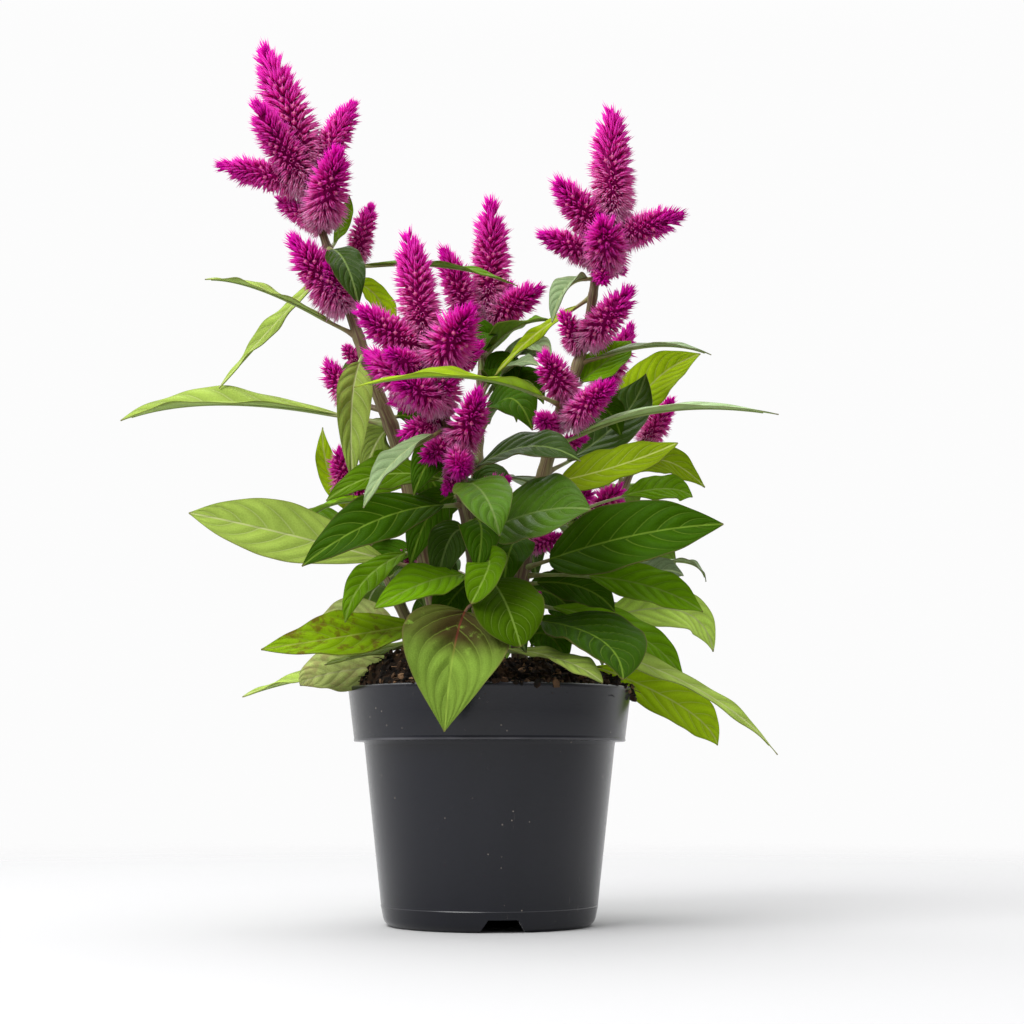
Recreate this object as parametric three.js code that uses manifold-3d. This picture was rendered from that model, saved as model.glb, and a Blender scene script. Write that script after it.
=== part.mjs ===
// Potted feather celosia: a charcoal nursery pot filled with peat, and a branched plant with
// lance-shaped leaves and magenta flower spikes. Millimetres, +Z up. The origin is on the floor,
// on the pot's axis; +X is to the right and +Y away from the front.
import * as THREE from "three";
import { mergeVertices } from "three/addons/utils/BufferGeometryUtils.js";
import Module from "manifold-3d";

const wasm = await Module();
wasm.setup();
const MERGE_DISTANCE = 1e-3;

// Pot: a 13 cm nursery pot on a notched foot ring and a pad in the middle
const POT_HEIGHT = 107;
const RIM_RADIUS = 65;
const RIM_DEPTH = 24.6;
const RIM_LIP_RADIUS = 62;
const RIM_ROUNDING = 1;
const BODY_TOP_RADIUS = 57.5;
const BODY_FOOT_RADIUS = 49.3;
const FOOT_LINE_HEIGHT = 9;
const FOOT_BEND_RADIUS = 48;
const FOOT_BEND_HEIGHT = 2.6;
const FOOT_RADIUS = 45.3;
const FOOT_RING_WIDTH = 4.6;
const PAD_RADIUS = 14;
const PAD_SLOPE = 2;
const WALL = 1.8;
const FLOOR_UNDERSIDE = 5.7;
const FLOOR_TOP = 7.7;
const FLOOR_ROUNDING = 1.3;
const POT_SIDES = 32;
const NOTCH_TOP_WIDTH = 13;
const NOTCH_FOOT_WIDTH = 20;
const NOTCH_REACH = 14;
const NOTCH_OVERRUN = 2;
const NOTCH_ANGLES = [-83, 37, 157];

// Soil: a mound of peat that stands above the rim
const SOIL_GAP = 0.3;
const SOIL_WALL_GAP = 0.9;
const SOIL_LEDGE_GAP = 1.7;
const SOIL_EDGE_RADIUS = 62.1;
const SOIL_EDGE_HEIGHT = 104;
const SOIL_MOUND = 15;
const SOIL_CRUMB = 2.6;
const SOIL_SWELL_TWO = 2.4;
const SOIL_SWELL_THREE = 1.6;
const SOIL_SECTORS = 18;
const SOIL_RINGS = [56, 50, 40, 28, 14];
const SOIL_SEED = 11;

// Stems and stalks
const HOLE_GAP = 0.35;
const STEM_SIDES = 6;
const STALK_RADII = [1.5, 1.2, 1];
const CORE_RADII = [4.2, 3.4];
const HEIGHT_SEARCH_STEPS = 24;

// Leaves
const BLADE_THICKNESS = 0.7;
const BLADE_FORM = { fullness: 3.21, base: 0.75, tip: 0.95 };
const BLADE_CUP_DEGREES = 12;
const BLADE_FACE = [0, -0.3, 1];
const RIPPLE_HEIGHT = 1.2;
const RIPPLE_TURNS = 13;
const RIPPLE_OFFSET = 1.3;
const KEEL_DEPTH = 0.5;
const PETIOLE_SHARE = 0.13;
const PETIOLE_WIDTH = 2.6;
const PETIOLE_THICKNESS = 1.9;
const PETIOLE_TAPER = 0.8;
const LEAF_UNDERSIDE_QUADS = [3, 4];
const LEAF_STATIONS = [0, 0.13, 0.28, 0.46, 0.66, 0.86];

// Flower spikes
const FLORET_ROW = 9;
const FLORET_ROWS_LEAST = 3;
const FLORET_ROWS_MOST = 9;
const FLORET_COLUMNS = 6;
const WIDE_SPIKE = 18;
const WIDE_SPIKE_COLUMNS = 7;
const FLORET_CORE = 0.62;
const FLORET_SPREAD = 0.18;
const FLORET_LEAN = 0.55;
const SPIKE_FORM = { foot: 0.66, swell: 1.6, taper: 2.4, least: 0.12 };
const STEEP = 0.9;
const FIRST_SPIKE_SEED = 2;

const COLOURS = {
  pot: { colour: "#2c2e32", roughness: 0.5 },
  soil: { colour: "#2a1c14", roughness: 1 },
  leaf: { colour: "#4c8a26", roughness: 0.5 },
  flower: { colour: "#b3148a", roughness: 0.8 },
};

const vec = ([x, y, z]) => new THREE.Vector3(x, y, z);

function seeded(seed) {
  let state = seed;
  return () => {
    state = (state * 1664525 + 1013904223) % 4294967296;
    return state / 4294967296;
  };
}

function geometryOf(positions, triangles) {
  const geometry = new THREE.BufferGeometry();
  geometry.setAttribute("position", new THREE.Float32BufferAttribute(positions, 3));
  geometry.setIndex(triangles);
  return geometry;
}

function solidOf(geometry) {
  const bare = geometry.clone();
  bare.deleteAttribute("normal");
  bare.deleteAttribute("uv");
  const merged = mergeVertices(bare, MERGE_DISTANCE);
  const mesh = new wasm.Mesh({
    numProp: 3,
    vertProperties: new Float32Array(merged.attributes.position.array),
    triVerts: new Uint32Array(merged.index.array),
  });
  return new wasm.Manifold(mesh);
}

function largestBody(solid) {
  const bodies = solid.decompose();
  bodies.sort((a, b) => b.volume() - a.volume());
  return bodies[0];
}

function meshOf(name, solid, look) {
  const { vertProperties, triVerts } = largestBody(solid).getMesh();
  const material = new THREE.MeshStandardMaterial({
    color: look.colour,
    roughness: look.roughness,
    metalness: 0,
  });
  const mesh = new THREE.Mesh(geometryOf(Array.from(vertProperties), Array.from(triVerts)), material);
  mesh.name = name;
  return mesh;
}

const union = (solids) => solids.reduce((whole, solid) => whole.add(solid));

// Closed skin through rings of equal count, with a fan at each end. The quads after the ring
// points listed in turned are split along their other diagonal.
function loftGeometry(rings, firstPoint, lastPoint, turned = []) {
  const count = rings[0].length;
  const positions = [...rings.flat(), firstPoint, lastPoint].flatMap((p) => [p.x, p.y, p.z]);
  const first = rings.length * count;
  const last = first + 1;
  const triangles = [];
  for (let k = 0; k < count; k += 1) {
    const next = (k + 1) % count;
    triangles.push(first, next, k);
    triangles.push(last, (rings.length - 1) * count + k, (rings.length - 1) * count + next);
    for (let i = 0; i + 1 < rings.length; i += 1) {
      const low = i * count;
      const high = low + count;
      if (turned.includes(k)) {
        triangles.push(low + k, low + next, high + k, low + next, high + next, high + k);
      } else {
        triangles.push(low + k, low + next, high + next, low + k, high + next, high + k);
      }
    }
  }
  return geometryOf(positions, triangles);
}

// Stem or stalk: a tapering tube along a smooth curve
function curveOf(path) {
  return new THREE.CatmullRomCurve3(path.map(vec), false, "centripetal");
}

function tubeSolid(path, radii, extra) {
  const curve = curveOf(path);
  const steps = path.length - 1;
  const rings = path.map((_, i) => {
    const t = i / steps;
    const centre = curve.getPoint(t);
    const along = curve.getTangent(t);
    const side = new THREE.Vector3(0, 1, 0).cross(along).normalize();
    const front = along.clone().cross(side);
    const place = t * (radii.length - 1);
    const whole = Math.min(Math.floor(place), radii.length - 2);
    const radius = THREE.MathUtils.lerp(radii[whole], radii[whole + 1], place - whole) + extra;
    return Array.from({ length: STEM_SIDES }, (unused, k) => {
      const angle = (k / STEM_SIDES) * Math.PI * 2;
      return centre.clone().addScaledVector(side, Math.cos(angle) * radius)
        .addScaledVector(front, Math.sin(angle) * radius);
    });
  });
  const tip = curve.getPoint(1).addScaledVector(curve.getTangent(1), extra);
  return solidOf(loftGeometry(rings, curve.getPoint(0), tip));
}

function stemSolid(stem, extra = 0) {
  const stalks = stem.stalks.map((path) => tubeSolid(path, STALK_RADII, extra));
  return union([tubeSolid(stem.path, stem.radii, extra), ...stalks]);
}

function heightOn(stem, height) {
  const curve = curveOf(stem.path);
  let low = 0;
  let high = 1;
  for (let i = 0; i < HEIGHT_SEARCH_STEPS; i += 1) {
    const middle = (low + high) / 2;
    if (curve.getPoint(middle).z < height) low = middle;
    else high = middle;
  }
  return curve.getPoint(low);
}

// Leaf: a petiole and a lance-shaped blade along a bent midrib, with waved edges
const bladeShape = (s) => BLADE_FORM.fullness * s ** BLADE_FORM.base * (1 - s) ** BLADE_FORM.tip;

const ripple = (s, sign) =>
  RIPPLE_HEIGHT * Math.sin(Math.PI * s) * Math.sin(s * RIPPLE_TURNS + sign * RIPPLE_OFFSET);

function leafSolid(stem, { at, over, tip, wide, face = BLADE_FACE }) {
  const start = heightOn(stem, at);
  const end = vec(tip);
  const control = vec(over).multiplyScalar(2).addScaledVector(start, -0.5).addScaledVector(end, -0.5);
  const rib = new THREE.QuadraticBezierCurve3(start, control, end);
  const cup = THREE.MathUtils.degToRad(BLADE_CUP_DEGREES);
  const rings = LEAF_STATIONS.map((t) => {
    const centre = rib.getPoint(t);
    const along = rib.getTangent(t);
    const side = along.clone().cross(vec(face)).normalize();
    const up = side.clone().cross(along);
    const s = Math.max(0, (t - PETIOLE_SHARE) / (1 - PETIOLE_SHARE));
    const half = Math.max(PETIOLE_WIDTH * (1 - PETIOLE_TAPER * t), wide * bladeShape(s)) / 2;
    const thick = Math.max(BLADE_THICKNESS, PETIOLE_THICKNESS * (1 - t / PETIOLE_SHARE));
    const keel = thick / 2 + KEEL_DEPTH * (1 - t);
    const edge = (sign, lift) => centre.clone()
      .addScaledVector(side, sign * half * Math.cos(cup))
      .addScaledVector(up, half * Math.sin(cup) + ripple(s, sign) + lift);
    const middle = (lift) => centre.clone().addScaledVector(up, lift);
    return [edge(-1, thick / 2), middle(thick / 2), edge(1, thick / 2),
      edge(1, -thick / 2), middle(-keel), edge(-1, -thick / 2)];
  });
  return solidOf(loftGeometry(rings, rib.getPoint(0), rib.getPoint(1), LEAF_UNDERSIDE_QUADS));
}

// Flower spike: a tapering core in staggered rows of pointed florets that lean to the tip
const spikeShape = (s) => Math.max(SPIKE_FORM.least,
  Math.min(1, SPIKE_FORM.foot + SPIKE_FORM.swell * s) * (1 - s ** SPIKE_FORM.taper));

function spikeSolid(spike, seed) {
  const random = seeded(seed);
  const [start, end] = [vec(spike.from), vec(spike.to)];
  const along = end.clone().sub(start);
  const length = along.length();
  along.normalize();
  const upright = Math.abs(along.z) > STEEP ? new THREE.Vector3(0, 1, 0) : new THREE.Vector3(0, 0, 1);
  const side = upright.cross(along).normalize();
  const front = along.clone().cross(side);
  const rows = THREE.MathUtils.clamp(Math.round(length / FLORET_ROW), FLORET_ROWS_LEAST, FLORET_ROWS_MOST);
  const columns = spike.wide >= WIDE_SPIKE ? WIDE_SPIKE_COLUMNS : FLORET_COLUMNS;
  const place = (row, column, reach, lift) => {
    const angle = ((column + 0.5 * (row % 2)) / columns) * Math.PI * 2;
    const radius = (spike.wide / 2) * spikeShape(row / (rows + 1)) * reach;
    return start.clone().lerp(end, (row + lift) / (rows + 1))
      .addScaledVector(side, Math.cos(angle) * radius)
      .addScaledVector(front, Math.sin(angle) * radius);
  };
  const positions = [];
  const add = (p) => positions.push(p.x, p.y, p.z) / 3 - 1;
  const rings = Array.from({ length: rows + 1 }, (unused, row) =>
    Array.from({ length: columns }, (none, column) => add(place(row, column, FLORET_CORE, 0))));
  const triangles = [];
  const corner = (row, column) => rings[row][column % columns];
  for (let column = 0; column < columns; column += 1) {
    for (let row = 1; row < rows; row += 1) {
      // The floret between two neighbours of a ring, the corner under it and the corner over it
      const shift = row % 2;
      const peak = add(place(row, column + 0.5, 1 + FLORET_SPREAD * random(), FLORET_LEAN));
      const [left, right] = [corner(row, column), corner(row, column + 1)];
      const [under, above] = [corner(row - 1, column + shift), corner(row + 1, column + shift)];
      triangles.push(left, under, peak, under, right, peak, right, above, peak, above, left, peak);
    }
    triangles.push(corner(0, column), corner(0, column + 1), corner(1, column));
    triangles.push(corner(rows, column), corner(rows - 1, column + (rows % 2)), corner(rows, column + 1));
  }
  const [foot, point] = [add(start), add(end)];
  for (let column = 0; column < columns; column += 1) {
    triangles.push(foot, corner(0, column + 1), corner(0, column));
    triangles.push(point, corner(rows, column), corner(rows, column + 1));
  }
  return solidOf(geometryOf(positions, triangles));
}

// Each stem: a path from its root in the soil to its top with radii, short stalks that carry side
// spikes, and leaves. A leaf leaves the stem at a height, its midrib passes the point "over"
// halfway and ends at the tip, and "face" is the way its upper side looks.
const LEAFY_STEMS = {
  leafy_stem_left: {
    path: [[-17, 4, 58], [-20, 3, 112], [-30, 1, 165], [-44, -2, 222], [-54, -4, 248], [-66, -6, 283],
      [-78, -7, 317], [-87, -8, 350]],
    radii: [4.4, 4.2, 3.6, 3.4, 3, 2.4, 1.9, 1.1],
    stalks: [
      [[-72, -6, 300], [-65, 6, 306], [-63, 11, 315]],
      [[-50, -3, 236], [-60, 2, 240], [-69, 3, 246]],
      [[-57, -4, 255], [-61, 5, 259], [-64, 8, 264]],
      [[-30, 1, 162], [-34, 7, 164], [-38, 9, 168]],
    ],
    leaves: {
      upper_outer: { at: 270, over: [-103, -13, 290], tip: [-132, -20, 294], wide: 14 },
      upper_hanging: { at: 305, over: [-103, 9, 279], tip: [-129, 12, 249], wide: 12, face: [-1, -0.5, 0] },
      dark_hanging: { at: 312, over: [-67, -26, 301], tip: [-60, -30, 279], wide: 17, face: [0.3, -1, 0] },
      top_back: { at: 311, over: [-70, 8, 330], tip: [-68, 12, 344], wide: 7, face: [0, -1, 0.3] },
      long_across: { at: 303, over: [-26, -2, 306], tip: [13, -5, 295], wide: 11 },
      inner_bright: { at: 298, over: [-54, 4, 292], tip: [-47, 8, 272], wide: 13, face: [0, -1, 0.6] },
      long_left: { at: 229, over: [-121, 7, 243], tip: [-175, 10, 233], wide: 18, face: [0, -0.42, 1] },
      grey_hanging: { at: 262, over: [-67, -26, 233], tip: [-62, -30, 195], wide: 17, face: [0.2, -1, 0] },
      broad_light: { at: 160, over: [-90, -9, 176], tip: [-138, -15, 185], wide: 33, face: [0.1, -1, 0.4] },
      low_left: { at: 172, over: [-54, -28, 156], tip: [-64, -38, 134], wide: 14, face: [-0.2, -1, 0.3] },
      stained: { at: 138, over: [-61, -30, 131], tip: [-101, -40, 123], wide: 22, face: [0, -1, 0.9] },
      strip: { at: 130, over: [-50, -16, 123], tip: [-74, -26, 116], wide: 14, face: [0, -0.3, 1] },
      grey_low: { at: 125, over: [-61, -15, 119], tip: [-86, -22, 111], wide: 18, face: [0, -1, 0.6] },
      edge_left: { at: 123, over: [-80, 9, 118], tip: [-115, 10, 103], wide: 16, face: [0, -0.3, 1] },
      back_upper: { at: 250, over: [-62, 30, 262], tip: [-68, 56, 246], wide: 20 },
      back_hidden: { at: 186, over: [-72, 12, 202], tip: [-100, 16, 190], wide: 20 },
    },
  },
  leafy_stem_centre: {
    path: [[0, -14, 58], [-2, -15, 112], [-5, -19, 146], [-12, -27, 190], [-18, -34, 217], [-25, -39, 245],
      [-30, -40, 268]],
    radii: [4, 3.8, 3.3, 2.8, 2.4, 1.9, 1.1],
    stalks: [],
    leaves: {
      dark_left: { at: 188, over: [-46, -54, 181], tip: [-81, -66, 156], wide: 23, face: [0, -1, 0.7] },
      bright_left: { at: 197, over: [-46, -38, 201], tip: [-71, -42, 191], wide: 13, face: [0, -1, 0.7] },
      grey_front: { at: 222, over: [-40, -66, 204], tip: [-54, -76, 180], wide: 13, face: [-0.6, -1, 0.4] },
      drooping_front: { at: 198, over: [-5, -80, 186], tip: [4, -93, 166], wide: 24, face: [0, -1, 0.6] },
      broad_right: { at: 172, over: [18, -60, 182], tip: [43, -80, 179], wide: 36, face: [-0.2, -1, 0.5] },
      dark_right: { at: 199, over: [14, -60, 209], tip: [39, -72, 201], wide: 18, face: [0, -1, 0.9] },
      twisted_front: { at: 159, over: [4, -64, 150], tip: [9, -74, 122], wide: 30, face: [0.1, -1, 0.4] },
      big_hanging: { at: 142, over: [-16, -66, 130], tip: [-19, -82, 85], wide: 45, face: [0, -1, 0.5] },
      bright_low: { at: 156, over: [-25, -48, 150], tip: [-48, -62, 139], wide: 20, face: [0, -1, 0.8] },
      rim_strip: { at: 124, over: [27, -54, 118], tip: [48, -70, 106], wide: 13, face: [0, -0.35, 1] },
    },
  },
  leafy_stem_right: {
    path: [[16, -6, 58], [14, -7, 112], [13, -8, 147], [17, -8, 170], [30, -11, 225], [40, -12, 254],
      [45, -13, 272], [50, -14, 301], [59, -14, 330]],
    radii: [4.2, 3.9, 3.4, 3.2, 3, 2.6, 2.3, 1.9, 1.1],
    stalks: [
      [[36, -12, 242], [46, -4, 245], [53, 3, 251]],
      [[21, -9, 188], [29, -5, 191], [35, -4, 196]],
    ],
    leaves: {
      long_front: { at: 236, over: [-8, -82, 239], tip: [-55, -88, 231], wide: 15, face: [0, -0.36, 1] },
      bright_upper: { at: 288, over: [22, -7, 272], tip: [2, -10, 251], wide: 9, face: [-0.5, -1, 0.4] },
      grey_upper: { at: 296, over: [34, -32, 290], tip: [28, -37, 271], wide: 12, face: [-0.6, -1, 0.1] },
      bright_inner: { at: 244, over: [54, -9, 258], tip: [66, -5, 269], wide: 14, face: [-0.3, -1, 0.5] },
      thin_right: { at: 256, over: [71, -18, 266], tip: [102, -20, 260], wide: 12 },
      long_right: { at: 213, over: [76, -28, 230], tip: [131, -32, 230], wide: 18, face: [0, -0.5, 1] },
      bright_folded: { at: 200, over: [58, -28, 206], tip: [86, -32, 215], wide: 19, face: [0, -1, 0.8] },
      dark_back: { at: 205, over: [60, 18, 234], tip: [74, 22, 262], wide: 26, face: [-0.3, -1, 0.3] },
      bright_side: { at: 178, over: [70, 14, 200], tip: [97, 24, 199], wide: 17, face: [0, -1, 0.7] },
      glossy_right: { at: 162, over: [60, -42, 174], tip: [103, -50, 179], wide: 34, face: [0, -1, 0.4] },
      lower_right: { at: 158, over: [62, -28, 155], tip: [95, -34, 142], wide: 19, face: [0, -1, 0.6] },
      dark_lobe: { at: 154, over: [40, -10, 153], tip: [57, -13, 141], wide: 20, face: [0, -1, 0.5] },
      folded_low: { at: 138, over: [48, -50, 130], tip: [56, -77, 107], wide: 37, face: [0.3, -1, 0.8] },
      under_right: { at: 146, over: [64, 2, 136], tip: [90, 6, 112], wide: 20, face: [0.4, -1, 0.8] },
      long_drooping: { at: 134, over: [86, -14, 110], tip: [129, -22, 76], wide: 13, face: [0.5, -0.9, 1] },
      back_middle: { at: 176, over: [36, 22, 186], tip: [44, 46, 172], wide: 22 },
    },
  },
  leafy_stem_back: {
    path: [[-6, 26, 58], [-7, 32, 112], [-8, 44, 170], [-6, 56, 230], [-3, 65, 285], [-2, 66, 304]],
    radii: [4, 3.8, 3.2, 2.6, 2, 1.1],
    stalks: [],
    leaves: {
      pale_edged: { at: 272, over: [10, 42, 285], tip: [31, 30, 287], wide: 20, face: [0, 0, 1] },
      grey_inner: { at: 264, over: [18, 42, 277], tip: [30, 36, 269], wide: 13, face: [0, -1, 0.7] },
      pale_inner: { at: 250, over: [10, 36, 265], tip: [24, 22, 262], wide: 12, face: [0, -1, 0.9] },
      dark_inner: { at: 232, over: [8, 20, 246], tip: [20, 6, 228], wide: 24, face: [0, -1, 0.4] },
      dark_left: { at: 220, over: [-20, 14, 230], tip: [-30, 2, 214], wide: 22, face: [0, -1, 0.5] },
      top_left: { at: 276, over: [-30, 78, 286], tip: [-46, 92, 270], wide: 18 },
      back_upper: { at: 262, over: [8, 92, 272], tip: [14, 118, 252], wide: 20 },
      back_left: { at: 222, over: [-34, 76, 234], tip: [-60, 92, 214], wide: 26 },
      back_right: { at: 206, over: [18, 84, 216], tip: [32, 112, 196], wide: 26 },
      inner_left: { at: 190, over: [-16, 26, 202], tip: [-24, 8, 182], wide: 24, face: [0, -1, 0.3] },
      inner_right: { at: 172, over: [12, 28, 184], tip: [22, 14, 158], wide: 26, face: [0, -1, 0.3] },
      inner_low: { at: 140, over: [-20, 24, 148], tip: [-30, 14, 128], wide: 26, face: [0, -1, 0.4] },
      back_low_left: { at: 160, over: [-34, 74, 172], tip: [-56, 100, 152], wide: 28 },
      back_low: { at: 142, over: [4, 76, 150], tip: [8, 112, 124], wide: 28 },
      back_hanging: { at: 124, over: [-26, 68, 124], tip: [-36, 92, 92], wide: 28 },
    },
  },
  leafy_stem_back_right: {
    path: [[26, 20, 58], [30, 24, 112], [42, 32, 150], [58, 40, 190], [74, 48, 226], [78, 50, 236]],
    radii: [3.6, 3.4, 2.8, 2.3, 1.7, 1.1],
    stalks: [[[56, 39, 185], [52, 32, 190], [50, 25, 195]]],
    leaves: {
      tall_light: { at: 204, over: [86, 36, 252], tip: [105, 42, 275], wide: 22, face: [-0.3, -1, 0.3] },
      right_pointed: { at: 208, over: [88, 56, 224], tip: [108, 68, 211], wide: 20, face: [0, -1, 0.5] },
      grey_stub: { at: 152, over: [76, 36, 164], tip: [94, 42, 163], wide: 15, face: [0, -1, 0.5] },
      grey_thin: { at: 160, over: [90, 46, 171], tip: [106, 52, 161], wide: 8 },
      light_low: { at: 134, over: [88, 46, 147], tip: [110, 60, 127], wide: 25, face: [0.2, -1, 0.6] },
      brown_edged: { at: 124, over: [86, 24, 102], tip: [108, 30, 81], wide: 24, face: [0.4, -1, 0.4] },
      back_upper: { at: 200, over: [66, 82, 212], tip: [72, 110, 196], wide: 24 },
      back_right: { at: 172, over: [84, 68, 182], tip: [104, 88, 164], wide: 24 },
      back_low: { at: 146, over: [50, 74, 150], tip: [58, 104, 122], wide: 28 },
    },
  },
  leafy_stem_back_left: {
    path: [[-24, 22, 58], [-28, 24, 112], [-44, 27, 150], [-60, 29, 185], [-70, 28, 206]],
    radii: [3.4, 3.2, 2.7, 2.1, 1.1],
    stalks: [],
    leaves: {
      upright: { at: 186, over: [-80, 38, 210], tip: [-84, 42, 236], wide: 13, face: [-0.2, -1, 0.2] },
      pink_stained: { at: 132, over: [-66, 40, 150], tip: [-86, 50, 137], wide: 26, face: [0, -1, 0.5] },
      behind_broad: { at: 168, over: [-82, 38, 188], tip: [-112, 44, 180], wide: 24, face: [0, -0.6, 1] },
      back_left: { at: 150, over: [-56, 60, 160], tip: [-66, 92, 138], wide: 26 },
      back_low: { at: 122, over: [-62, 52, 118], tip: [-80, 64, 92], wide: 24 },
      inner_left: { at: 180, over: [-50, 17, 192], tip: [-54, 5, 176], wide: 16, face: [0, -1, 0.4] },
    },
  },
};

// Flower heads and side spikes: each stands on the stem that is named, in a plain hole round it.
// In a head the spikes' roots meet round a short core along the stem.
const FLOWER_HEADS = {
  flower_head_left: {
    stem: "leafy_stem_left",
    core: [[-79, -7, 321], [-87, -8, 352]],
    spikes: [
      { from: [-84, -8, 344], to: [-110, 0, 418], wide: 22 },
      { from: [-84, -8, 340], to: [-111, -26, 379], wide: 18 },
      { from: [-83, -8, 342], to: [-130, -8, 353], wide: 15 },
      { from: [-84, -8, 346], to: [-65, 4, 389], wide: 16 },
      { from: [-79, -10, 325], to: [-70, -30, 355], wide: 20 },
      { from: [-80, -6, 325], to: [-103, 6, 341], wide: 13 },
    ],
  },
  flower_head_centre: {
    stem: "leafy_stem_centre",
    core: [[-21, -36, 229], [-30, -40, 268]],
    spikes: [
      { from: [-29, -40, 256], to: [-38, -38, 314], wide: 19 },
      { from: [-29, -41, 254], to: [-60, -54, 273], wide: 17 },
      { from: [-26, -42, 250], to: [-7, -66, 270], wide: 23 },
      { from: [-27, -41, 246], to: [-46, -64, 251], wide: 13 },
      { from: [-27, -38, 244], to: [-57, -26, 259], wide: 15 },
      { from: [-24, -38, 242], to: [-3, -34, 262], wide: 13 },
      { from: [-22, -39, 232], to: [-43, -61, 240], wide: 17 },
      { from: [-22, -38, 232], to: [-20, -52, 248], wide: 17 },
      { from: [-22, -36, 231], to: [-42, -32, 224], wide: 10 },
      { from: [-23, -35, 236], to: [-47, -24, 236], wide: 12 },
    ],
  },
  flower_head_centre_low: {
    stem: "leafy_stem_centre",
    core: [[-15, -31, 204], [-17, -33, 215]],
    spikes: [
      { from: [-14, -35, 212], to: [-5, -57, 241], wide: 18 },
      { from: [-16, -35, 212], to: [-25, -52, 203], wide: 13 },
      { from: [-14, -34, 210], to: [-10, -66, 203], wide: 17 },
      { from: [-16, -33, 208], to: [-23, -47, 190], wide: 9 },
    ],
  },
  side_bud_centre: {
    stem: "leafy_stem_centre",
    spikes: [{ from: [-11, -24, 189], to: [10, -34, 200], wide: 11 }],
  },
  flower_head_right: {
    stem: "leafy_stem_right",
    core: [[51, -14, 302], [60, -14, 332]],
    spikes: [
      { from: [58, -14, 324], to: [57, -10, 383], wide: 20 },
      { from: [54, -14, 315], to: [29, -24, 342], wide: 18 },
      { from: [51, -14, 306], to: [21, -20, 317], wide: 14 },
      { from: [53, -14, 312], to: [51, -44, 312], wide: 21 },
      { from: [55, -14, 315], to: [91, -18, 327], wide: 16 },
      { from: [51, -13, 303], to: [65, -2, 303], wide: 9 },
      { from: [51, -15, 303], to: [52, -29, 290], wide: 10 },
    ],
  },
  flower_head_back: {
    stem: "leafy_stem_back",
    core: [[-3, 65, 287], [-2, 66, 308]],
    spikes: [
      { from: [-2, 66, 298], to: [0, 68, 361], wide: 20 },
      { from: [-3, 65, 294], to: [-24, 56, 332], wide: 17 },
      { from: [-2, 66, 294], to: [27, 58, 312], wide: 12 },
      { from: [-2, 67, 292], to: [10, 90, 322], wide: 16 },
    ],
  },
  side_spikes_left_upper: {
    stem: "leafy_stem_left",
    spikes: [
      { from: [-68, -9, 283], to: [-93, -22, 316], wide: 19 },
      { from: [-67, -9, 284], to: [-76, -24, 303], wide: 12 },
    ],
  },
  side_spike_left_behind: {
    stem: "leafy_stem_left",
    spikes: [{ from: [-64, 9, 310], to: [-57, 16, 342], wide: 12 }],
  },
  side_spike_left_middle: {
    stem: "leafy_stem_left",
    spikes: [{ from: [-65, 3, 242], to: [-78, -3, 261], wide: 13 }],
  },
  side_spike_left_small: {
    stem: "leafy_stem_left",
    spikes: [{ from: [-62, 7, 260], to: [-70, 13, 271], wide: 9 }],
  },
  side_bud_left_low: {
    stem: "leafy_stem_left",
    spikes: [{ from: [-36, 8, 165], to: [-43, 11, 175], wide: 8 }],
  },
  side_spikes_back_left: {
    stem: "leafy_stem_back_left",
    spikes: [
      { from: [-69, 28, 202], to: [-73, 24, 224], wide: 12 },
      { from: [-68, 28, 201], to: [-58, 18, 203], wide: 8 },
    ],
  },
  side_spikes_right_upper: {
    stem: "leafy_stem_right",
    spikes: [
      { from: [44, -14, 266], to: [66, -29, 290], wide: 18 },
      { from: [42, -13, 263], to: [32, -19, 281], wide: 12 },
    ],
  },
  side_spike_right_behind: {
    stem: "leafy_stem_right",
    spikes: [{ from: [51, 1, 247], to: [68, 14, 282], wide: 14 }],
  },
  side_spike_right_middle_left: {
    stem: "leafy_stem_right",
    spikes: [{ from: [36, -15, 245], to: [23, -31, 263], wide: 16 }],
  },
  side_spikes_right_middle: {
    stem: "leafy_stem_right",
    spikes: [
      { from: [31, -13, 226], to: [57, -36, 244], wide: 17 },
      { from: [31, -13, 226], to: [21, -31, 225], wide: 12 },
    ],
  },
  side_spike_right_inner: {
    stem: "leafy_stem_right",
    spikes: [{ from: [28, -7, 219], to: [46, -3, 223], wide: 9 }],
  },
  side_spike_right_low: {
    stem: "leafy_stem_right",
    spikes: [{ from: [32, -4, 192], to: [47, -16, 200], wide: 11 }],
  },
  side_bud_right_low: {
    stem: "leafy_stem_right",
    spikes: [{ from: [18, -9, 171], to: [35, -20, 175], wide: 9 }],
  },
  side_bud_right_base: {
    stem: "leafy_stem_right",
    spikes: [{ from: [14, -11, 145], to: [23, -21, 149], wide: 6 }],
  },
  side_spike_back_right_top: {
    stem: "leafy_stem_back_right",
    spikes: [{ from: [76, 49, 230], to: [91, 57, 254], wide: 13 }],
  },
  side_spike_back_right_inner: {
    stem: "leafy_stem_back_right",
    spikes: [{ from: [50, 27, 192], to: [62, 22, 205], wide: 11 }],
  },
};

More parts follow.
